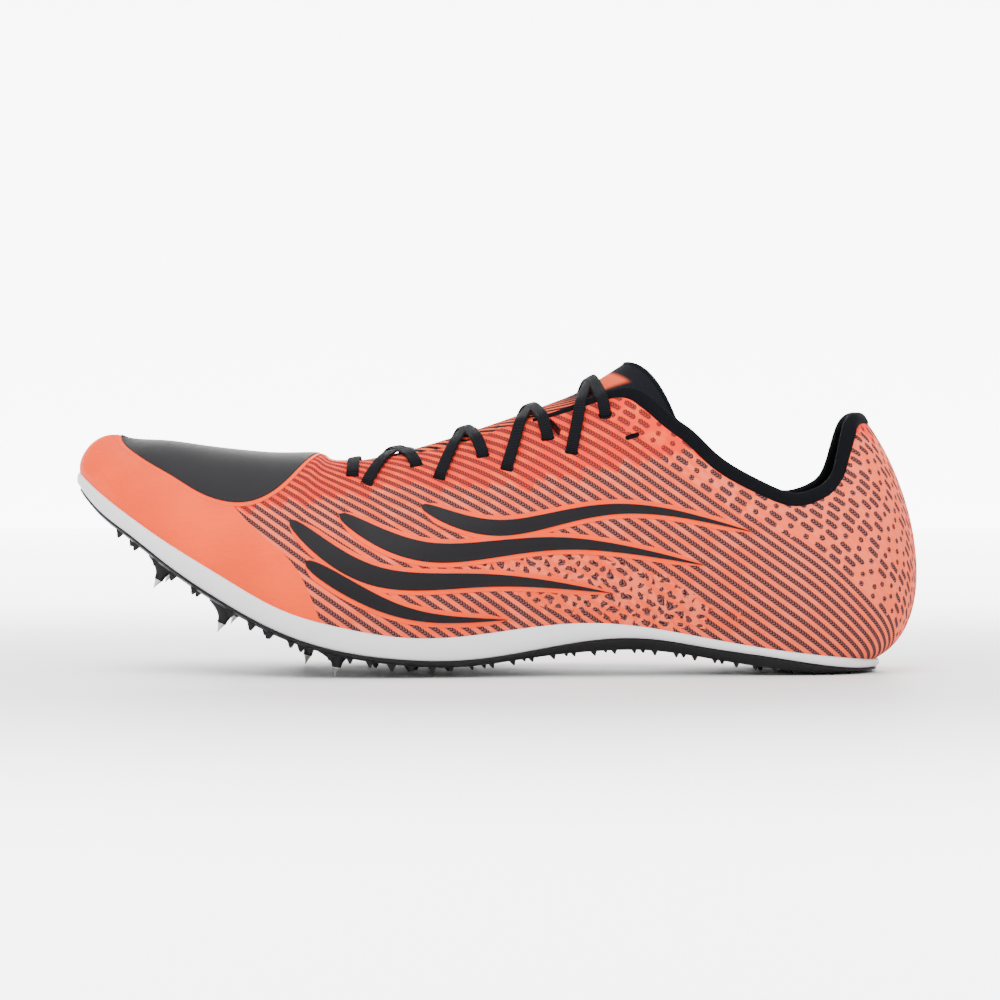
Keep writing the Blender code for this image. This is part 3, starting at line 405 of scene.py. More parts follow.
def rib(side, row, samples=65):
    """Points of one rib from the sole's edge to its top."""
    foot_at = min(SOLE_END, max(SOLE_START, RIB["foot"](row)))
    foot, out = edge_point(side, foot_at), edge_normal(side, foot_at)
    half = max(0.0, RIB["half"](row)) if row < THROAT_END else 0.0
    x = place_x(RIB["top"](row))
    rise = HEEL_HEIGHT * RIB["by_heel"](row) + INSTEP_HEIGHT * RIB["by_instep"](row)
    top = Vector((x, centre_y(x) + side * half * BALL_WIDTH, TOE_LIFT * EDGE(foot_at) + rise))
    height = top.z - foot.z
    low = foot + out * BALL_WIDTH * RIB["low_out"](row)
    low.z += height * RIB["low_up"](row)
    reach = out * BALL_WIDTH * RIB["high_out"](row)
    high = top + reach
    high.z -= height * RIB["high_down"](row)
    high.z += ridge_slope(row) * reach.x
    t = np.linspace(0, 1, samples)[:, None]
    corners = [np.array(p) for p in (foot, low, high, top)]
    return ((1 - t) ** 3 * corners[0] + 3 * (1 - t) ** 2 * t * corners[1]
            + 3 * (1 - t) * t ** 2 * corners[2] + t ** 3 * corners[3]) + SHIFT


def lengths_along(points):
    """The length run at each point of a polyline."""
    steps = np.linalg.norm(np.diff(points, axis=0), axis=1)
    return np.concatenate([[0], np.cumsum(steps)])


def rib_length(points):
    """Length of a polyline."""
    return float(lengths_along(points)[-1])


def unit(rows):
    """Rows of vectors at length one."""
    return rows / np.linalg.norm(rows, axis=1, keepdims=True)


def circle(count):
    """Angles evenly round a circle."""
    return np.linspace(0, FULL_CIRCLE, count, endpoint=False)


def spread(points, shares):
    """Points at shares of a polyline's length."""
    run = lengths_along(points)
    wanted = np.asarray(shares) * run[-1]
    return np.stack([np.interp(wanted, run, points[:, k]) for k in range(3)], axis=-1)


def sole_place(x, share, drop):
    """Height at a share of the way from the outer to the inner edge, less a drop."""
    at = min(SOLE_END, max(SOLE_START, 0.5 - x / LENGTH))
    return TOE_LIFT * EDGE(at) + share * ARCH_LIFT * ARCH(at) - drop(at, share)


def sole_ring(outset, drop, steps, shares=(0, 0.5, 1)):
    """The sole's edge moved out and down, as rows from the outer to the inner point."""
    rows = np.empty((steps + 1, len(shares), 3))
    for k in range(steps + 1):
        at = place_at(pi * k / steps)
        outer, inner = (edge_point(side, at) + edge_normal(side, at) * outset
                        for side in (LATERAL, MEDIAL))
        for n, share in enumerate(shares):
            point = outer.lerp(inner, share)
            rows[k, n] = point.x, point.y, sole_place(point.x, share, drop)
    return rows


def frame_shift():
    """How far the solids were moved to stand on the floor, from the midsole's box."""
    low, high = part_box("midsole")
    raw = sole_ring(MIDSOLE_LEDGE + 0.0004, lambda at, share: 0.0, 36)
    middle = (raw.min((0, 1)) + raw.max((0, 1))) / 2
    return np.array([(low[0] + high[0]) / 2 - middle[0], (low[1] + high[1]) / 2 - middle[1], 0.0])


SHIFT = np.zeros(3)
SHIFT = frame_shift()
CORE = 0.45 * INSTEP_HEIGHT


def height_of(high):
    """Height over the floor of a share of INSTEP_HEIGHT."""
    return INSTEP_HEIGHT * high


# Meshes


def smooth(thing, angle=radians(40)):
    """Smooth shading with sharp edges kept."""
    thing.data.shade_smooth()
    thing.data.set_sharp_from_angle(angle=angle)
    return thing


def new_mesh(name, points, faces, uvs=None):
    """An object from points and faces. uvs: name to a pair for each face corner."""
    mesh = bpy.data.meshes.new(name)
    mesh.from_pydata([tuple(p) for p in points], [], [tuple(f) for f in faces])
    for layer, values in (uvs or {}).items():
        made = mesh.uv_layers.new(name=layer)
        made.data.foreach_set("uv", np.asarray(values, np.float32).ravel())
    mesh.update()
    thing = bpy.data.objects.new(name, mesh)
    bpy.context.scene.collection.objects.link(thing)
    return thing


def welded(points, faces, uvs, places=6):
    """Join points that coincide, and drop faces that have collapsed."""
    keys = np.round(points, places)
    _, first, which = np.unique(keys, axis=0, return_index=True, return_inverse=True)
    which = which.ravel()
    kept_faces, kept_uvs = [], {layer: [] for layer in uvs}
    for face in faces:
        merged = [which[v] for v in face]
        corners = [k for k in range(len(face)) if merged[k] != merged[k - 1]]
        if len(corners) < 3:
            continue
        kept_faces.append([merged[k] for k in corners])
        for layer, values in uvs.items():
            kept_uvs[layer].extend(values[face[k]] for k in corners)
    return points[first], kept_faces, kept_uvs


def grid_faces(n, m, start=0, flip=False, wrap=False):
    """Quads of a grid of n by m points, with the second way closed if wrap is set."""
    faces = []
    for i in range(n - 1):
        for j in range(m if wrap else m - 1):
            k = (j + 1) % m
            a, b = start + i * m + j, start + i * m + k
            c, d = b + m, a + m
            faces.append((a, d, c, b) if flip else (a, b, c, d))
    return faces


def from_grids(name, grids, flips, uv_grids=None):
    """One welded mesh from grids of points. uv_grids: layer name to a list like grids."""
    uv_grids = uv_grids or {}
    points, faces = [], []
    for grid, flip in zip(grids, flips):
        faces += grid_faces(grid.shape[0], grid.shape[1], len(points), flip)
        points += list(grid.reshape(-1, 3))
    uvs = {layer: np.concatenate([g.reshape(-1, 2) for g in stack])
           for layer, stack in uv_grids.items()}
    points, faces, uvs = welded(np.array(points), faces, uvs)
    return new_mesh(name, points, faces, uvs)


def tube(name, rings, uv_name=None, uvs=None, caps=True):
    """A closed body through rings of points, with its ends closed."""
    rings = np.asarray(rings)
    n, m = rings.shape[:2]
    points = list(rings.reshape(-1, 3))
    faces = grid_faces(n, m, 0, False, wrap=True)
    if uvs is None:
        uvs = np.zeros((n, m, 2))
    corner = list(uvs.reshape(-1, 2))
    if caps:
        for row, back in ((0, True), (n - 1, False)):
            middle = len(points)
            points.append(rings[row].mean(0))
            corner.append(uvs[row].mean(0))
            for j in range(m):
                a, b = row * m + j, row * m + (j + 1) % m
                faces.append((middle, b, a) if back else (middle, a, b))
    points, faces, layers = welded(np.array(points), faces, {uv_name or "along": np.array(corner)})
    thing = new_mesh(name, points, faces, layers)
    outwards(thing)
    return thing


def outwards(thing):
    """Turn a closed mesh right side out."""
    mesh = thing.data
    mesh.calc_loop_triangles()
    points = np.array([v.co for v in mesh.vertices])
    triangles = np.array([t.vertices for t in mesh.loop_triangles])
    a, b, c = (points[triangles[:, k]] for k in range(3))
    if np.einsum("ij,ij->i", a, np.cross(b, c)).sum() < 0:
        mesh.flip_normals()


def closed_curve(points, count):
    """A smooth closed curve through points, with a number of points on it."""
    points = np.asarray(points, float)
    n = len(points)
    out = []
    for k in range(count):
        place = n * k / count
        i, t = int(place), place - int(place)
        p0, p1, p2, p3 = (points[(i + d) % n] for d in (-1, 0, 1, 2))
        out.append(0.5 * (2 * p1 + (p2 - p0) * t + (2 * p0 - 5 * p1 + 4 * p2 - p3) * t ** 2
                          + (3 * p1 - p0 - 3 * p2 + p3) * t ** 3))
    return np.array(out)


def shell(thing, wall, inner_slot=0, rim_slot=0):
    """Give an open skin its wall, inwards."""
    solid = thing.modifiers.new("Wall", "SOLIDIFY")
    solid.thickness, solid.offset, solid.use_even_offset = wall, -1, False
    solid.material_offset, solid.material_offset_rim = inner_slot, rim_slot
    return thing


def baked(thing):
    """The object with its modifiers applied to its mesh."""
    bpy.context.view_layer.update()
    seen = thing.evaluated_get(bpy.context.evaluated_depsgraph_get())
    mesh = bpy.data.meshes.new_from_object(seen)
    thing.modifiers.clear()
    old, thing.data = thing.data, mesh
    bpy.data.meshes.remove(old)
    return thing


def push(thing, distance):
    """Move the points of a skin along their normals, by a number or a function."""
    mesh = thing.data
    normals = [Vector(n.vector) for n in mesh.vertex_normals]
    for vertex, normal in zip(mesh.vertices, normals):
        way = distance(vertex.co) if callable(distance) else distance
        vertex.co += normal * way
    mesh.update()


def tree_of(*things):
    """A search tree over the meshes of some objects."""
    points, faces = [], []
    for thing in things:
        start = len(points)
        points += [v.co.copy() for v in thing.data.vertices]
        faces += [[start + v for v in face.vertices] for face in thing.data.polygons]
    return BVHTree.FromPolygons(points, faces)


def own(piece, slot, *nodes, padded=None):
    """Put a finished piece on the shoe's body and say which solids it stands for."""
    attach(piece, BODY)
    if nodes:
        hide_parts(*nodes)


def dress(piece, finish, slot, *nodes, angle=40, padded=None):
    """Give a piece its material and smooth shading, and put it on the shoe's body."""
    piece.data.materials.append(finish)
    smooth(piece, radians(angle))
    own(piece, slot, *nodes, padded=padded)


# Materials


class Value:
    """An output of a node, which sums and products can be written with."""

    def __init__(self, graph, socket):
        self.graph, self.socket = graph, socket

    def __add__(self, other):
        return self.graph.math("ADD", self, other)

    def __sub__(self, other):
        return self.graph.math("SUBTRACT", self, other)

    def __rsub__(self, other):
        return self.graph.math("SUBTRACT", other, self)

    def __mul__(self, other):
        return self.graph.math("MULTIPLY", self, other)

    def __truediv__(self, other):
        return self.graph.math("DIVIDE", self, other)

    def __abs__(self):
        return self.graph.math("ABSOLUTE", self)


class Graph:
    """Short ways to add nodes to a tree."""

    def __init__(self, tree):
        self.tree = tree

    def feed(self, socket, value):
        value = value.socket if isinstance(value, Value) else value
        if isinstance(value, bpy.types.NodeSocket):
            self.tree.links.new(value, socket)
        else:
            socket.default_value = value

    def node(self, kind, values=None, **settings):
        made = self.tree.nodes.new(kind)
        for name, value in settings.items():
            setattr(made, name, value)
        for key, value in (values or {}).items():
            self.feed(made.inputs[key], value)
        return made

    def value(self, output, kind, values=None, **settings):
        return Value(self, self.node(kind, values, **settings).outputs[output])

    def math(self, operation, *values):
        return self.value(0, "ShaderNodeMath", dict(enumerate(values)), operation=operation)

    def floor(self, value):
        return self.math("FLOOR", value)

    def sine(self, value):
        return self.math("SINE", value)

    def off_middle(self, value):
        return abs(self.math("FRACT", value) - 0.5)

    def mix(self, share, a, b):
        return self.value(2, "ShaderNodeMix", {0: share, 6: a, 7: b}, data_type="RGBA")

    def blend(self, share, a, b):
        return self.value(0, "ShaderNodeMix", {0: share, 2: a, 3: b}, data_type="FLOAT")

    def step(self, value, low, high):
        return self.value(0, "ShaderNodeMapRange", {
            "Value": value, "From Min": low, "From Max": high}, interpolation_type="SMOOTHSTEP")

    def uv(self, name):
        return self.value(0, "ShaderNodeUVMap", uv_map=name)

    def object_place(self):
        return self.value("Object", "ShaderNodeTexCoord")

    def split(self, vector):
        parts = self.node("ShaderNodeSeparateXYZ", {0: vector}).outputs
        return [Value(self, part) for part in parts]

    def join(self, x, y, z=0.0):
        return self.value(0, "ShaderNodeCombineXYZ", {0: x, 1: y, 2: z})

    def noise(self, vector, scale, detail=2.0, rough=0.5, stretch=(1, 1, 1)):
        if stretch != (1, 1, 1):
            vector = self.value(0, "ShaderNodeMapping", {"Vector": vector, "Scale": stretch})
        return self.value(0, "ShaderNodeTexNoise", {
            "Vector": vector, "Scale": scale, "Detail": detail, "Roughness": rough})

    def chance(self, x, y):
        return self.value("Value", "ShaderNodeTexWhiteNoise", {"Vector": self.join(x, y)},
                          noise_dimensions="2D")

    def group(self, tree, **values):
        made = self.node("ShaderNodeGroup", values, node_tree=tree)
        return {output.name: Value(self, output) for output in made.outputs}


def new_group(name, inputs, outputs, fill):
    """A shader node group. inputs: name to a default, a tuple for a vector."""
    tree = bpy.data.node_groups.new(name, "ShaderNodeTree")
    for label, default in inputs.items():
        kind = "NodeSocketVector" if isinstance(default, tuple) else "NodeSocketFloat"
        socket = tree.interface.new_socket(label, in_out="INPUT", socket_type=kind)
        socket.default_value = default
    for label in outputs:
        tree.interface.new_socket(label, in_out="OUTPUT", socket_type="NodeSocketFloat")
    graph = Graph(tree)
    entry, leave = graph.node("NodeGroupInput"), graph.node("NodeGroupOutput")
    given = {label: Value(graph, entry.outputs[label]) for label in inputs}
    for label, value in fill(graph, given).items():
        graph.feed(leave.inputs[label], value)
    return tree


def jacquard(graph, given):
    """Stripes of open mesh between knitted ridges, whole or broken into dashes and dots."""
    place, broken, scrambled = given["Place"], given["Broken"], given["Scrambled"]
    s, t = graph.split(place)[:2]
    swing = graph.noise(place, 0.9) - 0.5
    sway = graph.noise(graph.join(t, s, 3.7), 0.8) - 0.5
    s, t = s + swing * scrambled * 1.1, t + sway * scrambled * 1.6
    row = graph.floor(s)
    off = s - row - 0.5
    cell_length = graph.blend(scrambled, 1.62, 1.08)
    shifted = t / cell_length + graph.chance(row, 3.0) * 9.0
    cell = graph.floor(shifted)
    along = shifted - cell - 0.5
    luck = graph.chance(row, cell)
    dash = graph.step(luck, 0.40, 0.42) * 0.20 + luck * 0.07
    dash = graph.blend(scrambled, dash, luck * 0.30 - 0.06)
    wobble = graph.noise(place, 2.6) - 0.5
    saw = graph.off_middle(t * BARBS + graph.math("SIGN", off) * 0.25)
    half_width = (graph.blend(broken, 0.225, 0.262) + wobble * scrambled * 0.34
                  + wobble * broken * 0.10 + saw * 0.10)
    reach = (abs(along) - graph.blend(broken, 0.62, dash)) * cell_length * 1.22
    reach = graph.math("MAXIMUM", reach, 0.0)
    far = graph.math("SQRT", reach * reach + off * off)
    mesh = graph.step(far - half_width, 0.045, -0.035)
    thread = graph.step(graph.off_middle(t * BARBS + abs(off) * 3.2), 0.14, 0.34)
    ridge = (1.0 - graph.math("COSINE", off * FULL_CIRCLE)) * 0.5
    stitches = graph.sine(t * (FULL_CIRCLE * 2 * BARBS))
    rows = graph.sine(s * (FULL_CIRCLE * 5) + t * 6.0)
    fine = stitches * 0.10 + rows * 0.07
    return {"Mesh": mesh, "Thread": thread, "Fine": fine, "Ridge": ridge,
            "Height": graph.blend(mesh, ridge * 0.35 + 0.65 + fine, thread * 0.35 - 0.25)}


def weave(graph, given):
    """Two crossing sets of threads, over and under in turn."""
    u, v = (part * given["Threads"] for part in graph.split(given["Place"])[:2])
    over = abs(graph.sine(u * pi) * graph.sine(v * pi))
    fuzz = graph.noise(given["Place"], given["Fuzz"], 3.0)
    return {"Height": over * 0.7 + fuzz * 0.5, "Shade": over, "Fuzz": fuzz}


def grain(graph, given):
    """Fine and broad unevenness of a moulded or coated surface."""
    fine = graph.noise(given["Place"], given["Fine"], 3.0, 0.6)
    broad = graph.noise(given["Place"], given["Broad"])
    return {"Fine": fine, "Broad": broad, "Height": fine * 0.6 + broad * 0.4}


def groups():
    """The node groups that materials share, made once."""
    if "knit_jacquard" not in bpy.data.node_groups:
        new_group("knit_jacquard", {"Place": (0, 0, 0), "Broken": 0.0, "Scrambled": 0.0},
                  ["Mesh", "Thread", "Height", "Fine", "Ridge"], jacquard)
        new_group("woven_threads", {"Place": (0, 0, 0), "Threads": 1.0, "Fuzz": 2.0},
                  ["Height", "Shade", "Fuzz"], weave)
        new_group("surface_grain", {"Place": (0, 0, 0), "Fine": 900.0, "Broad": 60.0},
                  ["Fine", "Broad", "Height"], grain)
    return bpy.data.node_groups


def rgba(value, gain=1.0):
    """A colour with its alpha."""
    return (*(min(1.0, channel * gain) for channel in value), 1.0)


def material(name, fill, **constants):
    """A material: fill returns what varies, constants go on the shader's own sockets."""
    made = bpy.data.materials.get(name)
    if made:
        return made
    made = bpy.data.materials.new(name)
    made.use_nodes = True
    graph = Graph(made.node_tree)
    shader = made.node_tree.nodes["Principled BSDF"]
    for label, value in constants.items():
        shader.inputs[label.replace("_", " ")].default_value = value
    varied = fill(graph)
    height, depth = varied.pop("Height", None), varied.pop("Depth", 0.0002)
    for label, value in varied.items():
        graph.feed(shader.inputs[label], value)
    if height is not None:
        bump = graph.node("ShaderNodeBump", {"Height": height, "Distance": depth, "Strength": 1.0})
        graph.feed(shader.inputs["Normal"], bump.outputs[0])
    return made


def knit_material(colours):
    """The upper's jacquard knit, with its bright, pale, broken and scrambled places."""

    def fill(graph):
        bright, broken = graph.split(graph.uv("zones"))[:2]
        scrambled, pale = graph.split(graph.uv("zones_2"))[:2]
        place = graph.uv("knit")
        s = graph.split(place)[0]
        stripe = graph.floor(s)
        patchy = (graph.noise(place, 0.35, 3.0) - 0.5) * 0.012
        uneven = graph.chance(stripe, 8.0) - 0.5
        ragged = (graph.noise(place, 3.0) * 0.002 - 0.001 + uneven * 0.004
                  + (s - stripe) * -0.0025)
        broken = graph.step(broken + (ragged + uneven * 0.005), -0.0004, 0.0004)
        scrambled = graph.step(scrambled + patchy, -0.0002, 0.0003)
        cloth = graph.group(groups()["knit_jacquard"], Place=place, Scrambled=scrambled,
                            Broken=graph.math("MAXIMUM", broken, scrambled))
        knit, light, red, braid = (rgba(getattr(colours, name)) for name in (
            "knit", "knit_pale", "knit_bright", "braid"))
        mottle = graph.noise(place, 0.45, 3.0)
        tone = graph.mix(graph.step(mottle * 1.3 + cloth["Ridge"] * -0.22, 0.36, 0.66), knit, light)
        tone = graph.mix(graph.step(pale + patchy, -0.006, 0.012) * 0.55, tone, light)
        lit = graph.step(bright + ragged, -0.0003, 0.0003)
        tone = graph.mix(lit, tone, graph.mix(graph.step(mottle, 0.45, 0.68), red, knit))
        # Painted shade: the braid colour is mixed into the knit where the fine stitch texture is
        # low, in the grooves between stitches.
        tone = graph.mix(graph.step(cloth["Fine"], 0.02, -0.17) * 0.28, tone, braid)
        gauze = graph.mix(cloth["Thread"] * 0.7, rgba(colours.mesh), braid)
        gauze = graph.mix(lit * 0.42, gauze, rgba(colours.knit_bright, 0.42))
        return {"Base Color": graph.mix(cloth["Mesh"], tone, gauze), "Depth": 0.00028,
                "Roughness": graph.blend(cloth["Mesh"], 0.7, 0.88), "Height": cloth["Height"]}

    return material("knit_upper", fill, Specular_IOR_Level=0.08)


def cloth_material(name, tone, layer, threads, depth=0.0001, rough=0.88, lift=1.8):
    """A black or grey woven cloth on a piece's own map, in threads to the millimetre."""

    def fill(graph):
        cloth = graph.group(groups()["woven_threads"], Place=graph.uv(layer), Threads=threads,
                            Fuzz=2.5)
        base = graph.mix(cloth["Shade"], rgba(tone), rgba(tone, lift))
        worn = graph.mix(graph.step(cloth["Fuzz"], 0.52, 0.75), base, rgba(tone, lift * 1.6))
        return {"Base Color": worn, "Roughness": graph.blend(cloth["Fuzz"], rough - 0.1, rough),
                "Height": cloth["Height"], "Depth": depth}

    return material(name, fill, Specular_IOR_Level=0.06)


def film_material(name, tone, rough, depth=0.00006, streak=0.0):
    """A thin welded film with a faint grain and slight shade from place to place."""

    def fill(graph):
        place = graph.object_place()
        skin = graph.group(groups()["surface_grain"], Place=place, Fine=2600.0, Broad=45.0)
        creases = graph.noise(place, 380.0, 3.0, 0.6, (0.35, 1.0, 1.6))
        base = graph.mix(graph.step(skin["Broad"], 0.3, 0.72), rgba(tone, 0.9), rgba(tone, 1.1))
        return {"Base Color": base, "Height": skin["Fine"] * 0.5 + creases * streak,
                "Depth": depth, "Roughness": graph.blend(skin["Fine"], rough - 0.07, rough + 0.07)}

    return material(name, fill, Specular_IOR_Level=0.14)


def moulded_material(name, tone, rough, fine, depth, metallic=0.0, spread_tone=0.12, shine=0.2):
    """Foam, plastic or steel on object coordinates."""

    def fill(graph):
        skin = graph.group(groups()["surface_grain"], Place=graph.object_place(), Fine=fine,
                           Broad=70.0)
        base = graph.mix(graph.step(skin["Broad"], 0.3, 0.7), rgba(tone, 1 - spread_tone),
                         rgba(tone, 1 + spread_tone))
        return {"Base Color": base, "Height": skin["Height"], "Depth": depth,
                "Roughness": graph.blend(skin["Fine"], rough - 0.08, rough + 0.08)}

    return material(name, fill, Metallic=metallic, Specular_IOR_Level=shine)


# The upper


def knit_places(grid):
    """Lengths along and up the fabric, in metres, so that the knit wraps round the toe and heel."""
    steps_along = np.linalg.norm(np.diff(grid[..., :2], axis=0), axis=-1)
    steps_up = np.linalg.norm(np.diff(grid[..., 1:], axis=1), axis=-1)
    start = int(np.argmin(np.abs(grid[:, 0, 0])))
    along = np.zeros(grid.shape[:2])
    along[start] = grid[start, :, 0]
    for i in range(start + 1, len(grid)):
        along[i] = along[i - 1] - steps_along[i - 1]
    for i in range(start - 1, -1, -1):
        along[i] = along[i + 1] + steps_along[i]
    up = grid[:, :1, 2] + np.concatenate(
        [np.zeros((len(grid), 1)), np.cumsum(steps_up, axis=1)], axis=1)
    return along, up


def line_side(x, z, points):
    """Height above a line of points in millimetres, as seen from the side, in metres."""
    xs, zs = zip(*points)
    return z - np.interp(x, np.array(xs) * MM, np.array(zs) * MM)


def in_ellipse(x, z, centre, size, tilt):
    """How far inside a tilted ellipse a place lies, in metres."""
    dx, dz = x - centre[0] * MM, z - centre[1] * MM
    a, b = dx * cos(tilt) + dz * sin(tilt), dz * cos(tilt) - dx * sin(tilt)
    reach = np.hypot(a / (size[0] * MM), b / (size[1] * MM))
    return (1 - reach) * size[1] * MM


# Lines on the upper seen from the side, in millimetres from the shoe's middle and floor
BRIGHT_LINE = [(-70, 55), (-32, 62), (8, 62), (32, 66.4), (67, 73), (90, 78)]
BREAK_LINE = [(30, 120), (36, 90.6), (40, 79.6), (53, 72), (61, 64.4), (70.5, 57.8), (80, 50.6),
              (93, 45.6), (106, 38.3), (118.6, 26.8), (130, 15.5), (145, 2)]
SCRAMBLED_CENTRE, SCRAMBLED_SIZE, SCRAMBLED_TILT = (31, 30), (43, 10.5), -14
CREASES = [((-52, 58), (-38, 40), 5.0, 0.5), ((-40, 63), (-30, 48), 4.0, 0.4),
           ((52, 70), (66, 52), 6.0, 0.5), ((96, 44), (118, 38), 6.0, 0.5),
           ((20, 62), (34, 40), 8.0, 0.5), ((-104, 66), (-96, 52), 5.0, 0.25)]


def crease_depth(point):
    """How far the soft troughs push the upper in at a place."""
    depth = 0.0
    for start, end, width, deep in CREASES:
        ax, az, bx, bz = start[0] * MM, start[1] * MM, end[0] * MM, end[1] * MM
        run = (bx - ax) ** 2 + (bz - az) ** 2
        share = min(1.0, max(0.0, ((point.x - ax) * (bx - ax) + (point.z - az) * (bz - az)) / run))
        away = hypot(point.x - ax - share * (bx - ax), point.z - az - share * (bz - az))
        fade = sin(pi * (0.15 + 0.7 * share))
        depth += 1.6 * deep * MM * fade * exp(-(away / (width * MM)) ** 2)
    return -depth


def upper_top(points, row):
    """Share of a rib at which the upper ends: inside the binding, or at the throat's edge."""
    under = np.interp(row, [0, CUFF_END - 0.5, BINDING_END],
                      [UNDER_BINDING, UNDER_BINDING, UNDER_BINDING_END])
    return 1 - (under if row < BINDING_END else 0.0) / rib_length(points)


def upper_grids(rows, steps):
    """Grids of both sides of the upper."""
    grids = []
    for side in (LATERAL, MEDIAL):
        grid = np.empty((len(rows), steps + 1, 3))
        for i, row in enumerate(rows):
            points = rib(side, row)
            grid[i] = spread(points, np.linspace(0, upper_top(points, row), steps + 1))
        grids.append(grid)
    return grids


def make_upper(sizes, colours):
    """The knitted upper with its lining."""
    rows = np.linspace(0, LAST_ROW, LAST_ROW * 6 + 1)
    grids = upper_grids(rows, 56)
    layers = {"knit": [], "zones": [], "zones_2": []}
    fall = tan(sizes.stripe_slope)
    for grid in grids:
        along, up = knit_places(grid)
        tail = np.clip(along - TAIL_START, 0, None)
        nose = np.clip(-NOSE_START - along, 0, None)
        s = (up + along * fall + TAIL_BEND * tail ** 2 - NOSE_BEND * nose ** 2) / sizes.stripe_rise
        t = (along / cos(sizes.stripe_slope) - (up + along * fall) * sin(sizes.stripe_slope))
        t = t / sizes.stripe_rise + 200
        x, z = grid[..., 0], grid[..., 2]
        bright = line_side(x, z, BRIGHT_LINE)
        broken = line_side(x, z, BREAK_LINE)
        spots = in_ellipse(x, z, SCRAMBLED_CENTRE, SCRAMBLED_SIZE, radians(SCRAMBLED_TILT))
        pale = np.maximum(x - PALE_BEHIND, -PALE_AHEAD - x)
        layers["knit"].append(np.stack([s, t], -1))
        layers["zones"].append(np.stack([bright, broken], -1))
        layers["zones_2"].append(np.stack([spots, pale], -1))
    upper = from_grids("knit_upper", grids, (False, True), layers)
    push(upper, crease_depth)
    upper.data.materials.append(knit_material(colours))
    upper.data.materials.append(cloth_material("lining_cloth", colours.textile, "knit", 6.0))
    shell(upper, UPPER_WALL, inner_slot=1)
    baked(upper)
    smooth(upper, radians(60))
    own(upper, "orange_knit", "upper", "eyestay")


def outer_skin():
    """A plain skin of the upper, to lay other pieces on."""
    grids = upper_grids(np.linspace(0, LAST_ROW, LAST_ROW * 4 + 1), 40)
    skin = from_grids("skin", grids, (False, True))
    push(skin, crease_depth)
    return skin


def skin_tree(*others):
    """A search tree over a plain skin of the upper and other pieces."""
    skin = outer_skin()
    tree = tree_of(skin, *others)
    bpy.data.objects.remove(skin, do_unlink=True)
    return tree


# The collar


# Section of the binding in millimetres: out of the shoe, and up from the rim
BINDING = [(-0.6, -4.9), (0.1, -4.95), (0.45, -4.6), (0.75, -3.6), (0.85, -2.4), (0.68, -1.2),
           (0.15, -0.25), (-0.75, 0.1), (-1.7, 0.0), (-2.5, -0.6), (-2.95, -1.8), (-3.0, -3.4),
           (-2.8, -4.7), (-2.2, -5.2), (-1.4, -5.1)]


def rim_path():
    """Places, up and out directions along the collar, from outer side round the heel to inner."""
    rows = np.linspace(0, BINDING_END, 140)
    tops, ups, numbers = [], [], []
    for side, order in ((LATERAL, rows[::-1]), (MEDIAL, rows[1:])):
        for row in order:
            points = rib(side, row)
            ends = spread(points, [0.94, 1.0])
            tops.append(ends[1])
            ups.append(ends[1] - ends[0])
            numbers.append(row)
    tops, ups = np.array(tops), np.array(ups)
    for _ in range(6):
        ups[1:-1] = (ups[:-2] + ups[1:-1] + ups[2:]) / 3
    along = np.gradient(tops, axis=0)
    outs = unit(np.cross(along, ups))
    return tops, unit(np.cross(outs, along)), outs, np.array(numbers)


def make_binding(colours):
    """The padded binding round the collar."""
    tops, ups, outs, numbers = rim_path()
    ring = closed_curve(BINDING, 54) * MM
    girth = lengths_along(ring)
    rings, uvs = [], []
    for top, up, out, row, place in zip(tops, ups, outs, numbers, lengths_along(tops)):
        slim = np.interp(row, [CUFF_END - 1.5, BINDING_END], [1.0, 0.30])
        rings.append(top + (np.outer(ring[:, 0], out) + np.outer(ring[:, 1], up)) * slim)
        uvs.append(np.stack([np.full(len(ring), place), girth], -1) / MM)
    cloth = cloth_material("binding_cloth", colours.textile, "along", 2.2, 0.00012, 0.9, 2.0)
    dress(tube("collar_binding", rings, "along", np.array(uvs)), cloth, "black_textile",
          "collar_cuff", angle=70, padded=0.8)


def make_collar(sizes, colours):
    """The padded binding round the collar, with the lining below it."""
    make_binding(colours)
    depths = np.linspace(LINING_DEPTH, LINING_TOP, 16)
    grids, maps = [], []
    for side in (LATERAL, MEDIAL):
        lines, marks = [], []
        for row in np.linspace(0, CUFF_END + 1, 120):
            points = rib(side, row)
            lines.append(spread(points, 1 - depths / rib_length(points)))
            marks.append([(row * 8, deep) for deep in depths / MM])
        grids.append(np.array(lines))
        maps.append(np.array(marks))
    lining = from_grids("collar_lining", grids, (False, True), {"along": maps})
    push(lining, -(UPPER_WALL + 0.0002))
    shell(lining, LINING_WALL)
    baked(lining)
    cloth = cloth_material("lining_mesh", colours.textile, "along", 1.6, 0.00015, 0.9, 2.6)
    dress(lining, cloth, "black_textile", angle=60, padded=0.6)


# The tongue


def below(side, points, share, depth):
    """Point under a rib, at a share of its length and a depth into the shoe."""
    here, ahead = (Vector(p) for p in spread(points, [share, share - 0.02]))
    rise = here - ahead
    return here + Vector((0, -side * rise.z, side * rise.y)).normalized() * depth


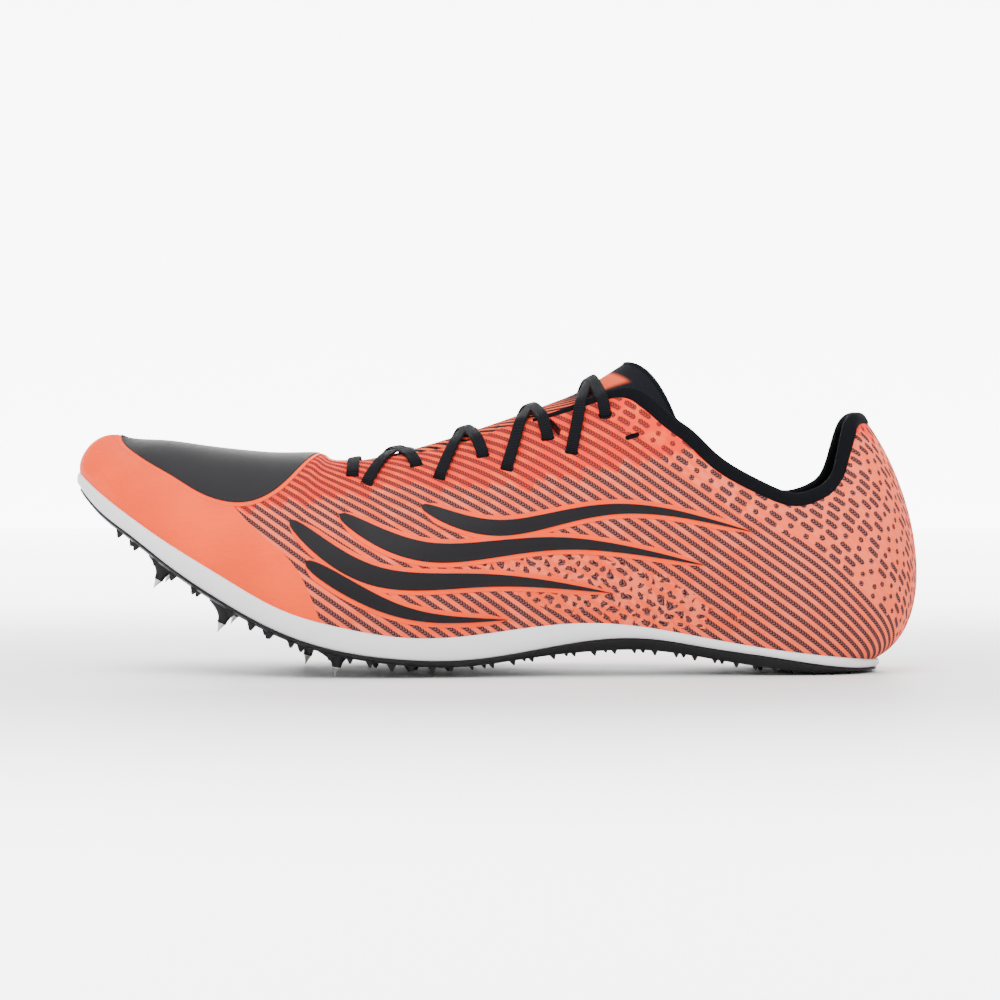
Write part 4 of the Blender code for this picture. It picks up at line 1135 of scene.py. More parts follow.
def tongue_grid(steps_along, steps_side):
    """Grid of the tongue's outer face from hem to hem, and its rear rim's row first."""
    places = range(len(TONGUE))
    at, height, row_of, tuck = (
        column(TONGUE, name, places) for name in ("at", "height", "row", "tuck"))
    rows, uvs = [], []
    for k in np.linspace(0, len(TONGUE) - 1, steps_along):
        x, row = place_x(at(k)), float(row_of(k))
        wall = np.interp(row, [CUFF_END - 0.5, CUFF_END + 1.5], [CUFF_WALL, UPPER_WALL])
        centre = Vector((x, centre_y(x), TONGUE_HEIGHT * height(k))) + Vector(SHIFT)
        spread_x = 2.0 - 0.75 * max(0.0, 1 - k / 2.5)
        halves = []
        for side in (LATERAL, MEDIAL):
            points = rib(side, row)
            reach = (TONGUE_LAP + EYESTAY_WIDTH * max(0.0, tuck(k))) / rib_length(points)
            rim = below(side, points, 1, wall + 2 * GAP)
            hems = [below(side, points, 1 - share * reach, wall + 4 * GAP)
                    for share in (0.25, 0.5, 0.75, 1.0)]
            span = rim - centre
            half = [centre + Vector((span.x * s ** spread_x, span.y * s, span.z * s ** TONGUE_ARCH))
                    for s in np.linspace(0, 1, steps_side)]
            halves.append(half + hems)
        line = np.array(halves[0][:0:-1] + halves[1])
        rows.append(line)
        run = lengths_along(line)
        uvs.append(np.stack([np.full(len(line), x), run - run[-1] / 2], -1) / MM)
    return np.array(rows), np.array(uvs)


def tongue_material(colours):
    """Dark knit with orange knit showing through along its middle."""

    def fill(graph):
        place = graph.uv("along")
        x, side = graph.split(place)[:2]
        cloth = graph.group(groups()["woven_threads"], Place=place, Threads=2.0, Fuzz=1.6)
        bars = graph.off_middle((x * 0.9 + side * 0.8) * 0.29)
        patch = graph.noise(place, 0.11, stretch=(1.0, 1.6, 1.0))
        lines = graph.step(bars, 0.22, 0.27) * graph.step(patch, 0.30, 0.36)
        spot = graph.step(abs(x - 32.5), 6.0, 4.0) * graph.step(abs(side), 16.0, 12.0)
        show = graph.math("MINIMUM", graph.step(x, 26.0, 14.0) * lines + spot, 1.0)
        dark = graph.mix(cloth["Shade"], rgba(colours.textile, 1.6), rgba(colours.textile, 4.2))
        warm = graph.mix(cloth["Shade"], rgba(colours.knit, 0.6), rgba(colours.knit_pale))
        return {"Base Color": graph.mix(show, dark, warm), "Height": cloth["Height"],
                "Roughness": graph.blend(cloth["Fuzz"], 0.75, 0.9), "Depth": 0.00012}

    return material("tongue_knit", fill, Specular_IOR_Level=0.08)


def make_piping(rim, inner, colours):
    """A round cord along the tongue's rear rim."""
    out = unit(np.cross(unit(np.gradient(rim, axis=0)), inner))
    out *= np.sign(out[len(out) // 2, 2])
    rings, maps = [], []
    for centre, into, up, place in zip(rim, inner, out, lengths_along(rim)):
        middle = centre - up * TONGUE_WALL * 0.5 + into * 0.0006
        rings.append([middle + (into * cos(a) + up * 1.12 * sin(a)) * 1.35 * MM
                      for a in circle(14)])
        maps.append([(place / MM, a * 1.3) for a in circle(14)])
    cloth = cloth_material("piping_cloth", colours.textile, "along", 3.0, 0.0001, 0.85, 2.4)
    dress(tube("tongue_piping", rings, "along", np.array(maps)), cloth, "black_textile", angle=70)


def make_tongue(sizes, colours):
    """The tongue and the piping round its rear rim."""
    grid, uvs = tongue_grid(80, 26)
    tongue = from_grids("tongue_sleeve", [grid], [False], {"along": [uvs]})
    if np.mean([f.normal.z for f in tongue.data.polygons]) < 0:
        tongue.data.flip_normals()
    tongue.data.materials.append(tongue_material(colours))
    tongue.data.materials.append(
        cloth_material("tongue_lining", colours.textile, "along", 3.0, 0.0001, 0.9, 2.2))
    shell(tongue, TONGUE_WALL, inner_slot=1)
    baked(tongue)
    smooth(tongue, radians(60))
    own(tongue, "black_textile", "tongue", padded=0.5)
    make_piping(grid[0], unit(grid[2] - grid[0]), colours)


# The laces


def cast(tree, x, angle):
    """How far from the core the tree's outer face lies in a direction, and its normal."""
    way, centre = Vector((0, cos(angle), sin(angle))), Vector((x, 0, CORE))
    hit, normal = tree.ray_cast(centre + way * LENGTH, -way)[:2]
    return (hit - centre).length, normal


def hole_place(tree, hole, side):
    """Place and normal of a lace hole on the outside, found from the side."""
    way = Vector((0, -side, 0))
    start = Vector((place_x(hole.at) + SHIFT[0], 0, height_of(hole.high))) - way * LENGTH
    return tree.ray_cast(start, way)[:2]


def hole_angle(tree, hole, side):
    """Direction of a lace hole as seen along the shoe from its core."""
    hit = hole_place(tree, hole, side)[0]
    return atan2(hit.z - CORE, side * hit.y) * side + (pi if side == LATERAL else 0)


def strand_path(tree, start, end, sizes, lift):
    """A tight path over the throat from an outer to an inner hole, dipping in at both."""
    first, last = hole_angle(tree, start, LATERAL), hole_angle(tree, end, MEDIAL)
    places = [start.at + (end.at - start.at) * k / LACE_STEPS for k in range(LACE_STEPS + 1)]
    step = (last - first) / LACE_STEPS
    reach, normals = [], []
    for k, at in enumerate(places):
        x = place_x(at) + SHIFT[0]
        hits = [cast(tree, x + across * sizes.lace_width, first + step * k)
                for across in (-0.45, 0, 0.45)]
        reach.append(max(hit[0] for hit in hits) + LACE_AIR + sizes.lace_thick / 2)
        normals.append(sum((hit[1] for hit in hits), Vector()))
    for _ in range(3 * LACE_STEPS):
        reach[1:-1] = [max(r, (a + b) / 2 - 0.00001) for a, r, b in zip(reach, reach[1:], reach[2:])]
    for _ in range(4):
        reach[1:-1] = [(a + 2 * r + b) / 4 for a, r, b in zip(reach, reach[1:], reach[2:])]
        normals[1:-1] = [a + n + b for a, n, b in zip(normals, normals[1:], normals[2:])]
    points = []
    for k, (at, distance) in enumerate(zip(places, reach)):
        share = k / LACE_STEPS
        distance += lift * exp(-((share - 0.5) / 0.11) ** 2)
        distance -= LACE_DIP * exp(-(min(share, 1 - share) / 0.017) ** 2)
        turned = first + step * k
        points.append(Vector((place_x(at) + SHIFT[0], distance * cos(turned),
                              CORE + distance * sin(turned))))
    return points, [normal.normalized() for normal in normals]


def make_strand(name, path, sizes, lace, node):
    """A flat woven lace along a path."""
    points, normals = path
    edge = [(1, 0), (0.93, 0.62), (0.78, 0.92), (0.4, 1), (0, 1.04)]
    outline = edge + [(-u, v) for u, v in edge[-2::-1]]
    outline += [(-u, -v) for u, v in outline[1:-1]]
    rings, uvs, run = [], [], 0.0
    for k, point in enumerate(points):
        ahead = (points[min(k + 1, LACE_STEPS)] - points[max(k - 1, 0)]).normalized()
        across = ahead.cross(normals[k]).normalized()
        out = across.cross(ahead)
        rings.append([point + across * u * sizes.lace_width / 2 + out * v * sizes.lace_thick / 2
                      for u, v in outline])
        run += (point - points[k - 1]).length if k else 0.0
        uvs.append([(run / MM, u * 2 + (0 if v >= 0 else 8)) for u, v in outline])
    rings = np.array([[tuple(p) for p in ring] for ring in rings])
    dress(tube(name, rings, "along", np.array(uvs)), lace, "black_textile", node, angle=60)


def lace_material(colours):
    """Flat black lace with cross ribs and a chevron weave."""

    def fill(graph):
        along, across = graph.split(graph.uv("along"))[:2]
        turns = along * (FULL_CIRCLE / 0.62)
        ribs, chevron = graph.sine(turns), graph.sine(turns + abs(across) * 5.0)
        fuzz = graph.noise(graph.uv("along"), 3.0, 3.0)
        shade = graph.step(ribs + chevron, -1.6, 1.8)
        base = graph.mix(shade, rgba(colours.textile, 0.6), rgba(colours.textile, 3.6))
        return {"Base Color": base, "Height": ribs * 0.5 + chevron * 0.4 + fuzz,
                "Depth": 0.00009, "Roughness": graph.blend(shade, 0.85, 0.6)}

    return material("lace_weave", fill, Specular_IOR_Level=0.06)


def slit_material(colours):
    """The rolled rim of a slit and the thread of the stitches."""
    return moulded_material("slit_edge", colours.textile, 0.8, 1500.0, 0.00003, shine=0.05)


def make_laces(sizes, colours):
    """The bar in front and the four crossings behind it."""
    tree = skin_tree(bpy.data.objects["tongue_sleeve"])
    lace, spots = lace_material(colours), []
    for number, pairs in enumerate(CROSSINGS, 1):
        for layer, (outer, inner) in enumerate(pairs):
            lift = sizes.lace_thick * 1.15 if layer else 0.0
            path = strand_path(tree, HOLES[outer], HOLES[inner], sizes, lift)
            word = "over" if layer else "under"
            make_strand(f"lace_crossing_{number}_{word}", path, sizes, lace, f"lace_{number}")
            points, normals = path
            for end, near, ahead in ((0, 1, 3), (-1, -2, -4)):
                across = (points[ahead] - points[end]).cross(normals[end])
                spots.append((points[near] + normals[end] * 0.0002, facing(normals[end], across)))
    finish = slit_material(colours)
    slits = scatter("lace_slits", slit_mesh("slit_shape", *LACE_SLIT, finish), spots, finish)
    own(slits, "black_textile")


# Films


def dense_shares(low, high, length, steps):
    """Shares of a rib from low to high, close together at the low end."""
    span = (high - low) * length
    close = [0.0, 0.00012, 0.0003, 0.0006]
    near = [low + min(c, span * 0.2) / length for c in close]
    return near + list(np.linspace(near[-1], high, steps)[1:])


def film_edge(grow, count=190):
    """Rows and shares along the toe film's edge, moved out over the skin by a distance."""
    along = np.linspace(0, len(FILM_EDGE) - 1, count)
    rows, shares = (spline(range(len(FILM_EDGE)), column)(along) for column in zip(*FILM_EDGE))
    turns = zip(rows, shares, np.gradient(rows), np.gradient(shares))
    edge = []
    for row, share, row_turn, share_turn in turns:
        share = min(1.0, share)
        length = rib_length(rib(LATERAL, row))
        ahead, behind = (spread(rib(LATERAL, row + step), [share])[0] for step in (0.1, -0.1))
        pace = np.linalg.norm(ahead - behind) / 0.2
        size = hypot(row_turn * pace, share_turn * length)
        edge.append((row + share_turn * length / size * grow / pace,
                     min(1.0, share - row_turn * pace / size * grow / length)))
    inner = [(row, share) for row, share in edge if share < 0.997 and row < LAST_ROW]
    return [(inner[0][0], 1.0), *inner, (LAST_ROW, inner[-1][1])]


def fanned_lines(side, edge, steps):
    """Lines from the film's edge up to evenly spaced places on the ridge."""
    tops = np.linspace(edge[0][0], edge[-1][0], len(edge))
    lines = []
    for (row, share), top in zip(edge, tops):
        ways = dense_shares(0.0, 1.0, (1 - share) * rib_length(rib(side, row)) + 1e-6, steps)
        lines.append([spread(rib(side, row + (top - row) * way), [share + (1 - share) * way])[0]
                      for way in ways])
    return np.array(lines)


def rib_lines(side, rows, shares_of, steps):
    """Lines along the ribs between the shares that a function gives."""
    ribs = [rib(side, row, 129) for row in rows]
    return np.array([spread(points, shares_of(points, steps)) for points in ribs])


def even_normals(mesh, rounds=30):
    """The normals at a mesh's points, evened out over their neighbours."""
    normals = np.array([n.vector for n in mesh.vertex_normals])
    ends = np.array([edge.vertices for edge in mesh.edges])
    for _ in range(rounds):
        total = normals.copy()
        np.add.at(total, ends[:, 0], normals[ends[:, 1]])
        np.add.at(total, ends[:, 1], normals[ends[:, 0]])
        normals = total / np.linalg.norm(total, axis=1, keepdims=True)
    return normals


def toe_skin(name, grids, raised, drop, finish, slot, *nodes):
    """A film over the toe, laid on the upper of both sides."""
    film = from_grids(name, grids, (False, True))
    push(film, crease_depth)
    places = np.array([v.co for v in film.data.vertices])
    normals = even_normals(film.data)
    baked(shell(film, raised + drop))
    both = np.concatenate([places + normals * raised, places - normals * drop])
    film.data.vertices.foreach_set("co", both.ravel())
    film.data.update()
    dress(film, finish, slot, *nodes, angle=50)


def make_toe_film(sizes, colours):
    """The black film over the toes, the orange film round it and round the throat's end."""
    orange = film_material("welded_film_orange", colours.film_orange, 0.45)
    black = film_material("welded_film_black", colours.film_black, 0.52, 0.00004)
    sides = (LATERAL, MEDIAL)
    for name, grow, raised, finish, *owned in (
            ("toe_film_border", sizes.film_border, 0.0, orange, "orange_film"),
            ("toe_film_black", 0.0, sizes.film * 0.5, black, "black_film", "toe_film")):
        grids = [fanned_lines(side, film_edge(grow), 26) for side in sides]
        toe_skin(name, grids, FILM_UP + raised, FILM_IN, finish, *owned)

    def rim(points, steps):
        length = rib_length(points)
        return dense_shares(1 - THROAT_FILM_WIDTH / length, 1.0, length, steps)

    grids = [rib_lines(side, np.linspace(*THROAT_FILM_ROWS, 60), rim, 8) for side in sides]
    toe_skin("throat_end_film", grids, THROAT_FILM_UP, FILM_IN, orange, "orange_film")


def rand_shares(points, steps):
    """Shares of a rib from the sole up to the rand's upper edge."""
    xs, zs = zip(*RAND_EDGE)
    at = 0.5 - (points[:, 0] - SHIFT[0]) / LENGTH
    under = height_of(spline(xs, zs)(np.clip(at, xs[0], xs[-1]))) - points[:, 2]
    run = lengths_along(points)
    signs = np.nonzero((under[:-1] > 0) & (under[1:] <= 0))[0]
    share = 1.0 if under[0] > 0 else 0.0
    if len(signs):
        k = signs[0]
        share = (run[k] + under[k] / (under[k] - under[k + 1]) * (run[k + 1] - run[k])) / run[-1]
    down = np.array(dense_shares(0.0, 1.0, max(share, 0.01) * run[-1], steps))
    return (share * (1 - down))[::-1]


def make_rand(sizes, colours):
    """The orange rand round the toe."""
    rows = np.linspace(RAND_START, LAST_ROW, 170)
    grids = [rib_lines(side, rows, rand_shares, 40) for side in (LATERAL, MEDIAL)]
    finish = film_material("rand_film", colours.film_orange, 0.55, 0.00022, 1.6)
    toe_skin("toe_rand_film", grids, RAND_UP, RAND_IN, finish, "orange_film", "toe_rand")


def on_side(tree, side, x, z):
    """Place and normal of the skin at a place seen from the side."""
    hit, normal = tree.ray_cast(Vector((x, side * LENGTH, z)), Vector((0, -side, 0)))[:2]
    return hit, normal


def ribbon_rings(tree, side, ribbon, border, low, high, steps=72):
    """Rings of a ribbon laid on the skin, wider than the ribbon by a border."""
    at, up = spline(range(4), ribbon.at), spline(range(4), ribbon.high)
    section = ((-1, low), (-0.99, high * 0.6), (-0.96, high), (-0.5, high), (0, high),
               (0.5, high), (0.96, high), (0.99, high * 0.6), (1, low))
    rings = []
    for share in np.arange(steps + 1) / steps:
        (x, z), (to_x, to_z) = ((place_x(at(k)) + SHIFT[0], height_of(up(k)))
                                for k in (3 * share, 3 * share + 0.01))
        run = hypot(to_x - x, to_z - z)
        width = 0.5 * ribbon.width * sin(pi * share ** 0.55) ** 0.8 if share < 1 else 0.0
        half = width + border * min(1.0, 6 * min(share, 1 - share) ** 0.7) + 0.00002
        ring = []
        for across, level in section:
            px, pz = x - (to_z - z) / run * half * across, z + (to_x - x) / run * half * across
            hit, normal = on_side(tree, side, px, pz)
            ring.append(tuple(hit + normal * level))
        rings.append(ring)
    return np.array(rings)


def make_ribbons(sizes, colours):
    """Four flowing ribbons a side, black with an orange border."""
    tree = skin_tree()
    black = film_material("welded_film_black", colours.film_black, 0.42, 0.00004)
    orange = film_material("welded_film_orange", colours.film_orange, 0.45)
    for side, word in ((LATERAL, "outer"), (MEDIAL, "inner")):
        for number, ribbon in enumerate(RIBBONS, 1):
            under = ribbon_rings(tree, side, ribbon, sizes.film_border, -0.0003, sizes.film * 0.6)
            over = ribbon_rings(tree, side, ribbon, 0.0, 0.0002, sizes.film * 1.15)
            place = f"{word}_{number}"
            dress(tube("ribbon_border_" + place, under), orange, "orange_film")
            dress(tube("ribbon_film_" + place, over), black, "black_film", "ribbon_" + place)


# Eyelets


def capsule(length, width, steps=10):
    """Outline of a slit with round ends, around its middle."""
    half, radius = length / 2 - width / 2, width / 2
    right = [(half + radius * cos(a), radius * sin(a)) for a in np.linspace(-pi / 2, pi / 2, steps)]
    left = [(-x, -y) for x, y in right]
    return right + left


def slit_mesh(name, length, width, finish):
    """A slit's rolled rim round a dark bottom, flat in X and Y."""
    slit = tube(name, [[(x, y, z) for x, y in capsule(length + 2 * grow, width + 2 * grow)]
                       for grow, z in SLIT_RIM])
    slit.data.materials.append(finish)
    return smooth(slit)


def copies_tree(name):
    """Geometry nodes that put a shape on points by their turn and grow attributes."""
    tree = bpy.data.node_groups.new(name, "GeometryNodeTree")
    sockets = {label: tree.interface.new_socket(label, in_out="INPUT",
                                                socket_type="NodeSocket" + kind)
               for label, kind in (("Geometry", "Geometry"), ("Shape", "Object"),
                                   ("Size", "Float"), ("Finish", "Material"))}
    tree.interface.new_socket("Geometry", in_out="OUTPUT", socket_type="NodeSocketGeometry")
    graph = Graph(tree)
    given, leave = graph.node("NodeGroupInput").outputs, graph.node("NodeGroupOutput")
    source = graph.node("GeometryNodeObjectInfo", {"Object": given["Shape"]})
    turn, grow = (graph.node("GeometryNodeInputNamedAttribute", {"Name": label},
                             data_type="FLOAT_VECTOR").outputs["Attribute"]
                  for label in ("turn", "grow"))
    scaled = graph.node("ShaderNodeVectorMath", {0: grow, "Scale": given["Size"]},
                        operation="SCALE")
    copies = graph.node("GeometryNodeInstanceOnPoints", {
        "Points": given["Geometry"], "Instance": source.outputs["Geometry"],
        "Rotation": graph.node("FunctionNodeEulerToRotation", {0: turn}).outputs[0],
        "Scale": scaled.outputs[0]})
    real = graph.node("GeometryNodeRealizeInstances", {"Geometry": copies.outputs[0]})
    dressed = graph.node("GeometryNodeSetMaterial", {
        "Geometry": real.outputs[0], "Material": given["Finish"]})
    graph.feed(leave.inputs[0], dressed.outputs[0])
    return tree, sockets


def scatter(name, prototype, spots, finish):
    """Copies of a prototype at spots, each with a turn and if wanted a size."""
    thing = new_mesh(name, [spot[0] for spot in spots], [])
    sizes = [spot[2] if len(spot) > 2 else (1, 1, 1) for spot in spots]
    for label, values in (("turn", [tuple(spot[1]) for spot in spots]), ("grow", sizes)):
        made = thing.data.attributes.new(label, "FLOAT_VECTOR", "POINT")
        made.data.foreach_set("vector", np.array(values, np.float32).ravel())
    step = thing.modifiers.new("Copies", "NODES")
    step.node_group, sockets = copies_tree(name + "_copies")
    for label, value in (("Shape", prototype), ("Size", 1.0), ("Finish", finish)):
        step[sockets[label].identifier] = value
    baked(thing)
    bpy.data.objects.remove(prototype, do_unlink=True)
    return smooth(thing)


def facing(normal, along):
    """Turn that lays a flat thing's Z on the normal and its X near a direction."""
    z = Vector(normal).normalized()
    x = (Vector(along) - z * Vector(along).dot(z)).normalized()
    return Matrix((x, z.cross(x), z)).transposed().to_euler()


def stitch_mesh():
    """A short thread that dips into the cloth at both ends."""
    return tube("stitch_shape", [
        [(x, STITCH_RADIUS * cos(a), STITCH_RADIUS * sin(a) + lift) for a in circle(8)]
        for x, lift in STITCH])


def make_eyelets(sizes, colours):
    """The spare slits at the top and the stitches that keep the lace."""
    tree, finish = skin_tree(), slit_material(colours)
    keepers = [Hole(0.4400 - 0.0010 * k, 0.884 - 0.0032 * k) for k in range(KEEPER_STITCHES)]
    for name, shape, holes, way in (
            ("spare_slits", slit_mesh("spare_shape", *SPARE_SLIT, finish), [SPARE_HOLE],
             (1, 0, 0.3)),
            ("lace_keeper_stitches", stitch_mesh(), keepers, (0.2, 0, 1))):
        spots = []
        for side in (LATERAL, MEDIAL):
            for hole in holes:
                place, normal = hole_place(tree, hole, side)
                spots.append((place, facing(normal, way)))
        own(scatter(name, shape, spots, finish), "black_textile")


# The sole


def sole_drop(at, share):
    """The midsole's height at a place."""
    return MIDSOLE_THICK * BAND(at) + 0.3 * share * ARCH_LIFT * max(0.0, ARCH(at))


def plate_top(at, share):
    """Drop from the sole's edge to the plate's upper face."""
    return sole_drop(at, share) + 0.0001


def plate_bottom(at, share):
    """Drop from the sole's edge to the plate's lower face."""
    drop = sole_drop(at, share) + 2 * GAP + PLATE_THICK * PLATE(at)
    return min(drop, TOE_LIFT * EDGE(at) + share * ARCH_LIFT * ARCH(at) - HEEL_LUG)


def sole_slab(name, profile, steps, count):
    """A slab of the sole through a profile of outsets and drops from top to bottom."""
    shares = np.linspace(0, 1, count)
    loops = [sole_ring(outset, drop, steps, shares) + SHIFT for outset, drop in profile]
    points, faces, size = np.concatenate(loops).reshape(-1, 3), [], (steps + 1) * count
    for level in range(len(loops) - 1):
        for side in (0, count - 1):
            for k in range(steps):
                a, b = level * size + k * count + side, level * size + (k + 1) * count + side
                faces.append((a, b, b + size, a + size) if side else (a, a + size, b + size, b))
    top = grid_faces(steps + 1, count, 0, True)
    bottom = grid_faces(steps + 1, count, (len(loops) - 1) * size, False)
    slab = new_mesh(name, *welded(points, faces + top + bottom, {})[:2])
    outwards(slab)
    return slab


def make_midsole(sizes, colours):
    """The white foam band."""
    profile = [(FOAM_LIP, lambda at, share: 0.0)]
    for down, out in FOAM_SIDE:
        profile.append((out, lambda at, share, down=down: down * sole_drop(at, share)))
    foam = moulded_material("foam_band", colours.foam, 0.52, 1400.0, 0.00005, 0.0, 0.02)
    dress(sole_slab("midsole_foam", profile, 220, 13), foam, "white_foam", "midsole", angle=50)


def make_insole(sizes, colours):
    """The sheet inside, turned up a little at its edge."""
    profile = [(outset, lambda at, share, up=up: -up) for outset, up in (
        (-0.0034, 0.0034), (-0.0022, 0.003), (-0.0022, 0.0))]
    cloth = moulded_material("insole_cloth", colours.insole, 0.9, 2600.0, 0.00012, 0.0, 0.08, 0.05)
    dress(sole_slab("insole_cloth", profile, 160, 13), cloth, "grey_textile", "insole", angle=50)


def under_plate(tree, x, y):
    """Place of the plate's lower face, and the direction down out of it."""
    return tree.ray_cast(Vector((x, y, -LENGTH)), Vector((0, 0, 1)))[:2]


def fin_rings(tree, pin):
    """Rings of a thorn that carries a pin, and the pin's seat and direction."""
    foot, normal = under_plate(tree, place_x(pin.at) + SHIFT[0], pin.across * BALL_WIDTH + SHIFT[1])
    down = Vector((PIN_LEAN * normal.x, 0, normal.z)).normalized()
    height = foot.z / -down.z - PIN_LENGTH - GAP if pin.stands else FIN_HEIGHT
    ahead = Vector((0, 1, 0)).cross(down).normalized()
    end, rings = PIN_RADIUS * 1.2, []
    for depth in np.concatenate([[-0.13, 0.0], np.linspace(0.06, 1.0, 16)]):
        spread_out = (1 - max(0.0, depth)) ** 2.2
        half = end + (FIN_LENGTH / 2 - end) * spread_out
        wide = end + (FIN_WIDTH / 2 - end) * spread_out
        middle = foot + down * height * depth + ahead * (half - end) * FIN_DRAG
        rings.append([tuple(middle + ahead * half * cos(a) + Vector((0, wide * sin(a), 0)))
                      for a in circle(28)])
    return rings, foot + down * height, down


def pin_rings(seat, down):
    """Rings of a steel pin: a short collar and a tapered point."""
    x = down.orthogonal().normalized()
    y = down.cross(x)
    return [[tuple(seat + down * depth + (x * cos(a) + y * sin(a)) * radius * PIN_RADIUS)
             for a in circle(24)] for depth, radius in PIN_SHAPE]


def tooth_mesh(finish):
    """A small slanted pyramid tooth, one unit high, pointing along Z."""
    corners = [(1, -0.62), (1, 0.62), (-1, 0.62), (-1, -0.62)]
    tooth = tube("tooth_shape", [[(x * grow + lean, y * grow, z) for x, y in corners]
                                 for z, grow, lean in TOOTH_SHAPE])
    tooth.data.materials.append(finish)
    return tooth


def plate_mix(share, drop=0.0):
    """A level between the plate's upper and lower faces, not under the lower one."""
    def level(at, across):
        top, bottom = plate_top(at, across), plate_bottom(at, across)
        return min((1 - share) * top + share * bottom + drop, bottom)
    return level


def make_pins(tree, finish, steel):
    """The thorns of the plate and their steel pins."""
    for number, pin in enumerate(PINS, 1):
        rings, seat, down = fin_rings(tree, pin)
        dress(tube(f"pin_fin_{number}", rings), finish, "black_plate", angle=60)
        dress(tube(f"steel_pin_{number}", pin_rings(seat, down)), steel, "steel",
              f"pin_{number}", angle=35)


def tooth_spots(tree, sizes):
    """Place, turn and size of each tooth, clear of the pins and inside the edge."""
    luck, spots = np.random.default_rng(sizes.seed), []
    for side in (LATERAL, MEDIAL):
        for inset, shift, pitch, share in TEETH_ROWS:
            count = int((TEETH_END - TEETH_START) * LENGTH / pitch)
            for k in range(count):
                along = (k + shift + 0.12 * luck.random()) / count
                at = TEETH_START + (TEETH_END - TEETH_START) * along
                edge = edge_point(side, at) - edge_normal(side, at) * inset + Vector(SHIFT)
                away = min(hypot(edge.x - place_x(pin.at), edge.y - pin.across * BALL_WIDTH)
                           for pin in PINS)
                grow = share * (0.85 + 0.30 * luck.random())
                grow *= 1.0 if at > SMALL_TEETH_BEHIND else 0.68
                foot, down = under_plate(tree, edge.x, edge.y)
                if away < PIN_CLEARANCE or foot is None or side * edge.y < MIDDLE_CLEARANCE:
                    continue
                size = (TOOTH_FOOT * grow, TOOTH_FOOT * grow, min(sizes.tooth * grow, foot.z))
                spots.append((foot, facing(down, (1, 0, 0)), size))
    return spots


def make_plate(sizes, colours):
    """The plate with its fins, teeth and heel lugs."""
    finish = moulded_material("plate_plastic", colours.plate, 0.38, 900.0, 0.00006)
    steel = moulded_material("pin_steel", colours.steel, 0.36, 3000.0, 0.00003, 1.0, 0.1)
    profile = [(-0.0026, plate_top), (-0.0002, plate_top), (0.00035, plate_mix(0, 0.0003)),
               (0.0002, plate_mix(0, 0.0008)), (-0.0011, plate_mix(0.7)),
               (-PLATE_INSET - 0.0004, plate_bottom)]
    plate = sole_slab("outsole_shell", profile, 240, 17)
    dress(plate, finish, "black_plate", "outsole_plate", angle=45)
    tree = tree_of(plate)
    make_pins(tree, finish, steel)
    teeth = scatter("outsole_teeth", tooth_mesh(finish), tooth_spots(tree, sizes), finish)
    own(teeth, "black_plate")


# The stage


def glow_material(name, strength):
    """A plain white card that gives light."""
    white = (1, 1, 1, 1)
    return material(name, lambda graph: {}, Base_Color=white, Emission_Color=white,
                    Emission_Strength=strength)


def floor_material():
    """A white floor, shaded under the shoe, that glows further off so that it fades to white."""

    def fill(graph):
        x, y = graph.split(graph.object_place())[:2]
        away = graph.math("SQRT", x * (x * 0.45) + y * y)
        # Painted shadow: the floor's colour darkens to grey in an ellipse under the shoe.
        along, across = (x - 0.01) * (1 / 0.150), y * (1 / 0.050)
        under = graph.math("SQRT", along * along + across * across)
        tone = graph.mix(graph.step(under, 0.40, 1.05), rgba((0.30, 0.30, 0.30)),
                         rgba((0.93, 0.93, 0.93)))
        return {"Emission Strength": graph.step(away, 0.10, 0.60) * FLOOR_GLOW,
                "Base Color": tone}

    return material("studio_floor", fill, Roughness=0.55, Emission_Color=(1, 1, 1, 1),
                    Specular_IOR_Level=0.3)


def stage_sheet(name, points, finish):
    """A flat square of the studio."""
    sheet = new_mesh(name, points, [(0, 1, 2, 3)])
    sheet.data.materials.append(finish)


def placed(name, data, place, turned):
    """A light or the camera at its place."""
    thing = bpy.data.objects.new(name, data)
    bpy.context.scene.collection.objects.link(thing)
    thing.location, thing.rotation_euler = place, turned
    return thing


def make_stage(sizes, colours):
    """Pale floor, bright card behind, soft lights and the camera at the photo's angle."""
    far, wide, half, back = FLOOR_REACH, FLOOR_REACH, CARD_HALF, CARD_AWAY
    stage_sheet("studio_floor", [(-wide, -far, 0), (wide, -far, 0), (wide, back, 0),
                                 (-wide, back, 0)], floor_material())
    stage_sheet("studio_card", [(-half, back, 0), (half, back, 0), (half, back, CARD_HIGH),
                                (-half, back, CARD_HIGH)],
                glow_material("studio_card", CARD_STRENGTH))
    scene = bpy.context.scene
    scene.world = bpy.data.worlds.new("studio")
    scene.world.use_nodes = True
    sky = scene.world.node_tree.nodes["Background"].inputs
    sky["Color"].default_value = (1, 1, 1, 1)
    sky["Strength"].default_value = WORLD_STRENGTH
    for name, place, size, power in LIGHTS:
        light = bpy.data.lights.new(name, "AREA")
        light.size, light.energy = size, power
        way = Vector(LOOK_AT) - Vector(place)
        placed(name, light, place, way.to_track_quat("-Z", "Y").to_euler())
    lens = bpy.data.cameras.new("camera")
    lens.lens, lens.sensor_width, lens.clip_start, lens.clip_end = LENS, SENSOR, 0.05, 20
    scene.camera = placed("camera", lens, (CAMERA_OFF + SHIFT[0], -CAMERA_AWAY, CAMERA_HIGH),
                          (radians(90 - CAMERA_PITCH), 0, 0))


# The add-on's classes


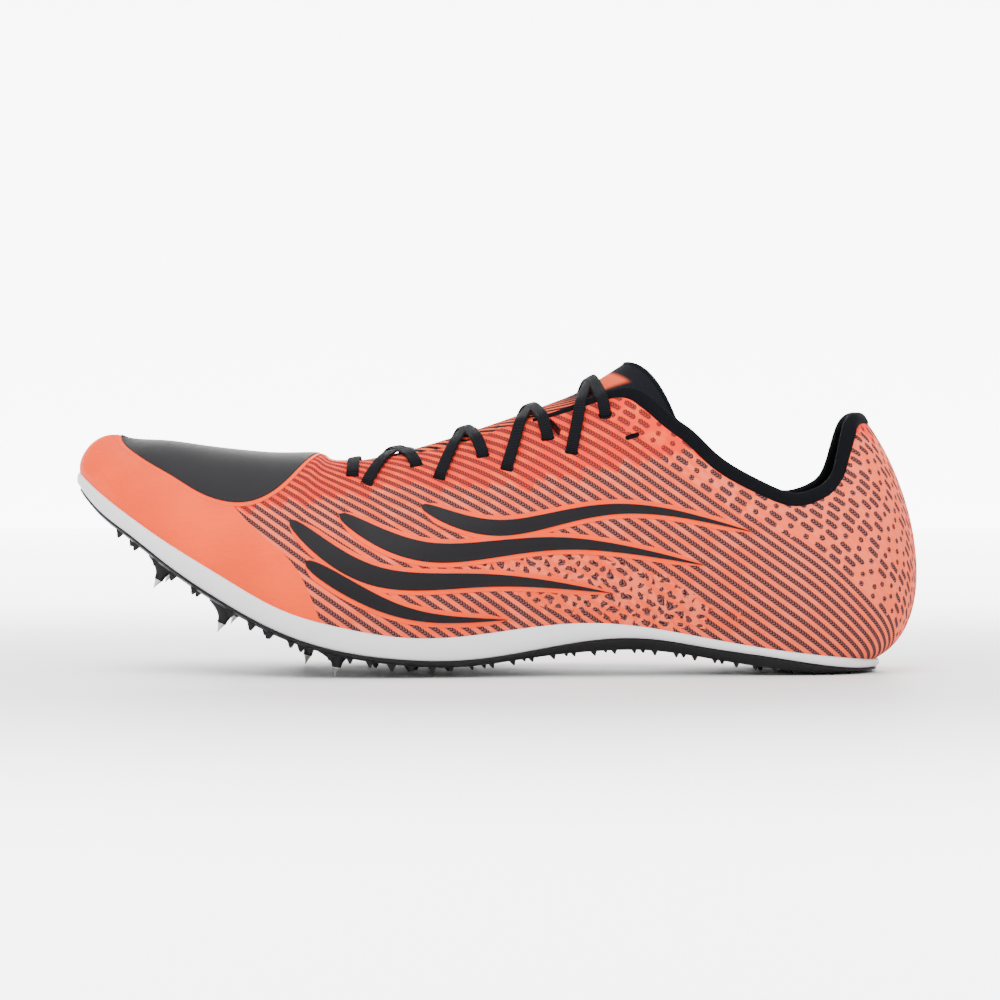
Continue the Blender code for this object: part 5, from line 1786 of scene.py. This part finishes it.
def piece_operator(idname, label, text, make):
    """An operator that makes one piece or group of pieces."""

    def execute(self, context):
        make(context.scene.shoe_sizes, context.scene.shoe_colours)
        return {"FINISHED"}

    return type("SHOE_OT_" + idname, (bpy.types.Operator,), {
        "__doc__": text, "bl_idname": "shoe." + idname, "bl_label": label, "execute": execute})


PIECES = [
    piece_operator("upper", "Upper", "Make the knitted upper", make_upper),
    piece_operator("collar", "Collar", "Make the binding round the collar", make_collar),
    piece_operator("tongue", "Tongue", "Make the tongue and its piping", make_tongue),
    piece_operator("laces", "Laces", "Make the lace's bar and crossings", make_laces),
    piece_operator("rand", "Rand", "Make the orange rand round the toe", make_rand),
    piece_operator("toe_film", "Toe film", "Make the black film over the toes", make_toe_film),
    piece_operator("ribbons", "Ribbons", "Make the ribbons on both sides", make_ribbons),
    piece_operator("eyelets", "Eyelets", "Make the lace slits and stitches", make_eyelets),
    piece_operator("midsole", "Midsole", "Make the white foam band", make_midsole),
    piece_operator("insole", "Insole", "Make the sheet inside", make_insole),
    piece_operator("plate", "Plate", "Make the plate with its teeth, fins and pins", make_plate),
    piece_operator("stage", "Stage", "Make floor, lights and camera", make_stage),
]


class SHOE_PT_panel(bpy.types.Panel):
    """Sizes, colours and pieces of the shoe."""

    bl_label = "Track spike shoe"
    bl_space_type = "VIEW_3D"
    bl_region_type = "UI"
    bl_category = "Shoe"

    def draw(self, context):
        for group in (context.scene.shoe_sizes, context.scene.shoe_colours):
            box = self.layout.box()
            for name in group.__annotations__:
                box.prop(group, name)
        for operator in PIECES:
            self.layout.operator(operator.bl_idname)


CLASSES = [ShoeSizes, ShoeColours, *PIECES, SHOE_PT_panel]


def register():
    """Register the classes and hang the properties on the scene."""
    for cls in CLASSES:
        bpy.utils.register_class(cls)
    bpy.types.Scene.shoe_sizes = PointerProperty(type=ShoeSizes)
    bpy.types.Scene.shoe_colours = PointerProperty(type=ShoeColours)


def unregister():
    """Take the properties and classes away again."""
    del bpy.types.Scene.shoe_sizes, bpy.types.Scene.shoe_colours
    for cls in reversed(CLASSES):
        bpy.utils.unregister_class(cls)


def main():
    """Make every piece and write down the model's size before and after."""
    register()
    for operator in PIECES:
        group, name = operator.bl_idname.split(".")
        getattr(getattr(bpy.ops, group), name)()


if __name__ == "__main__":
    main()
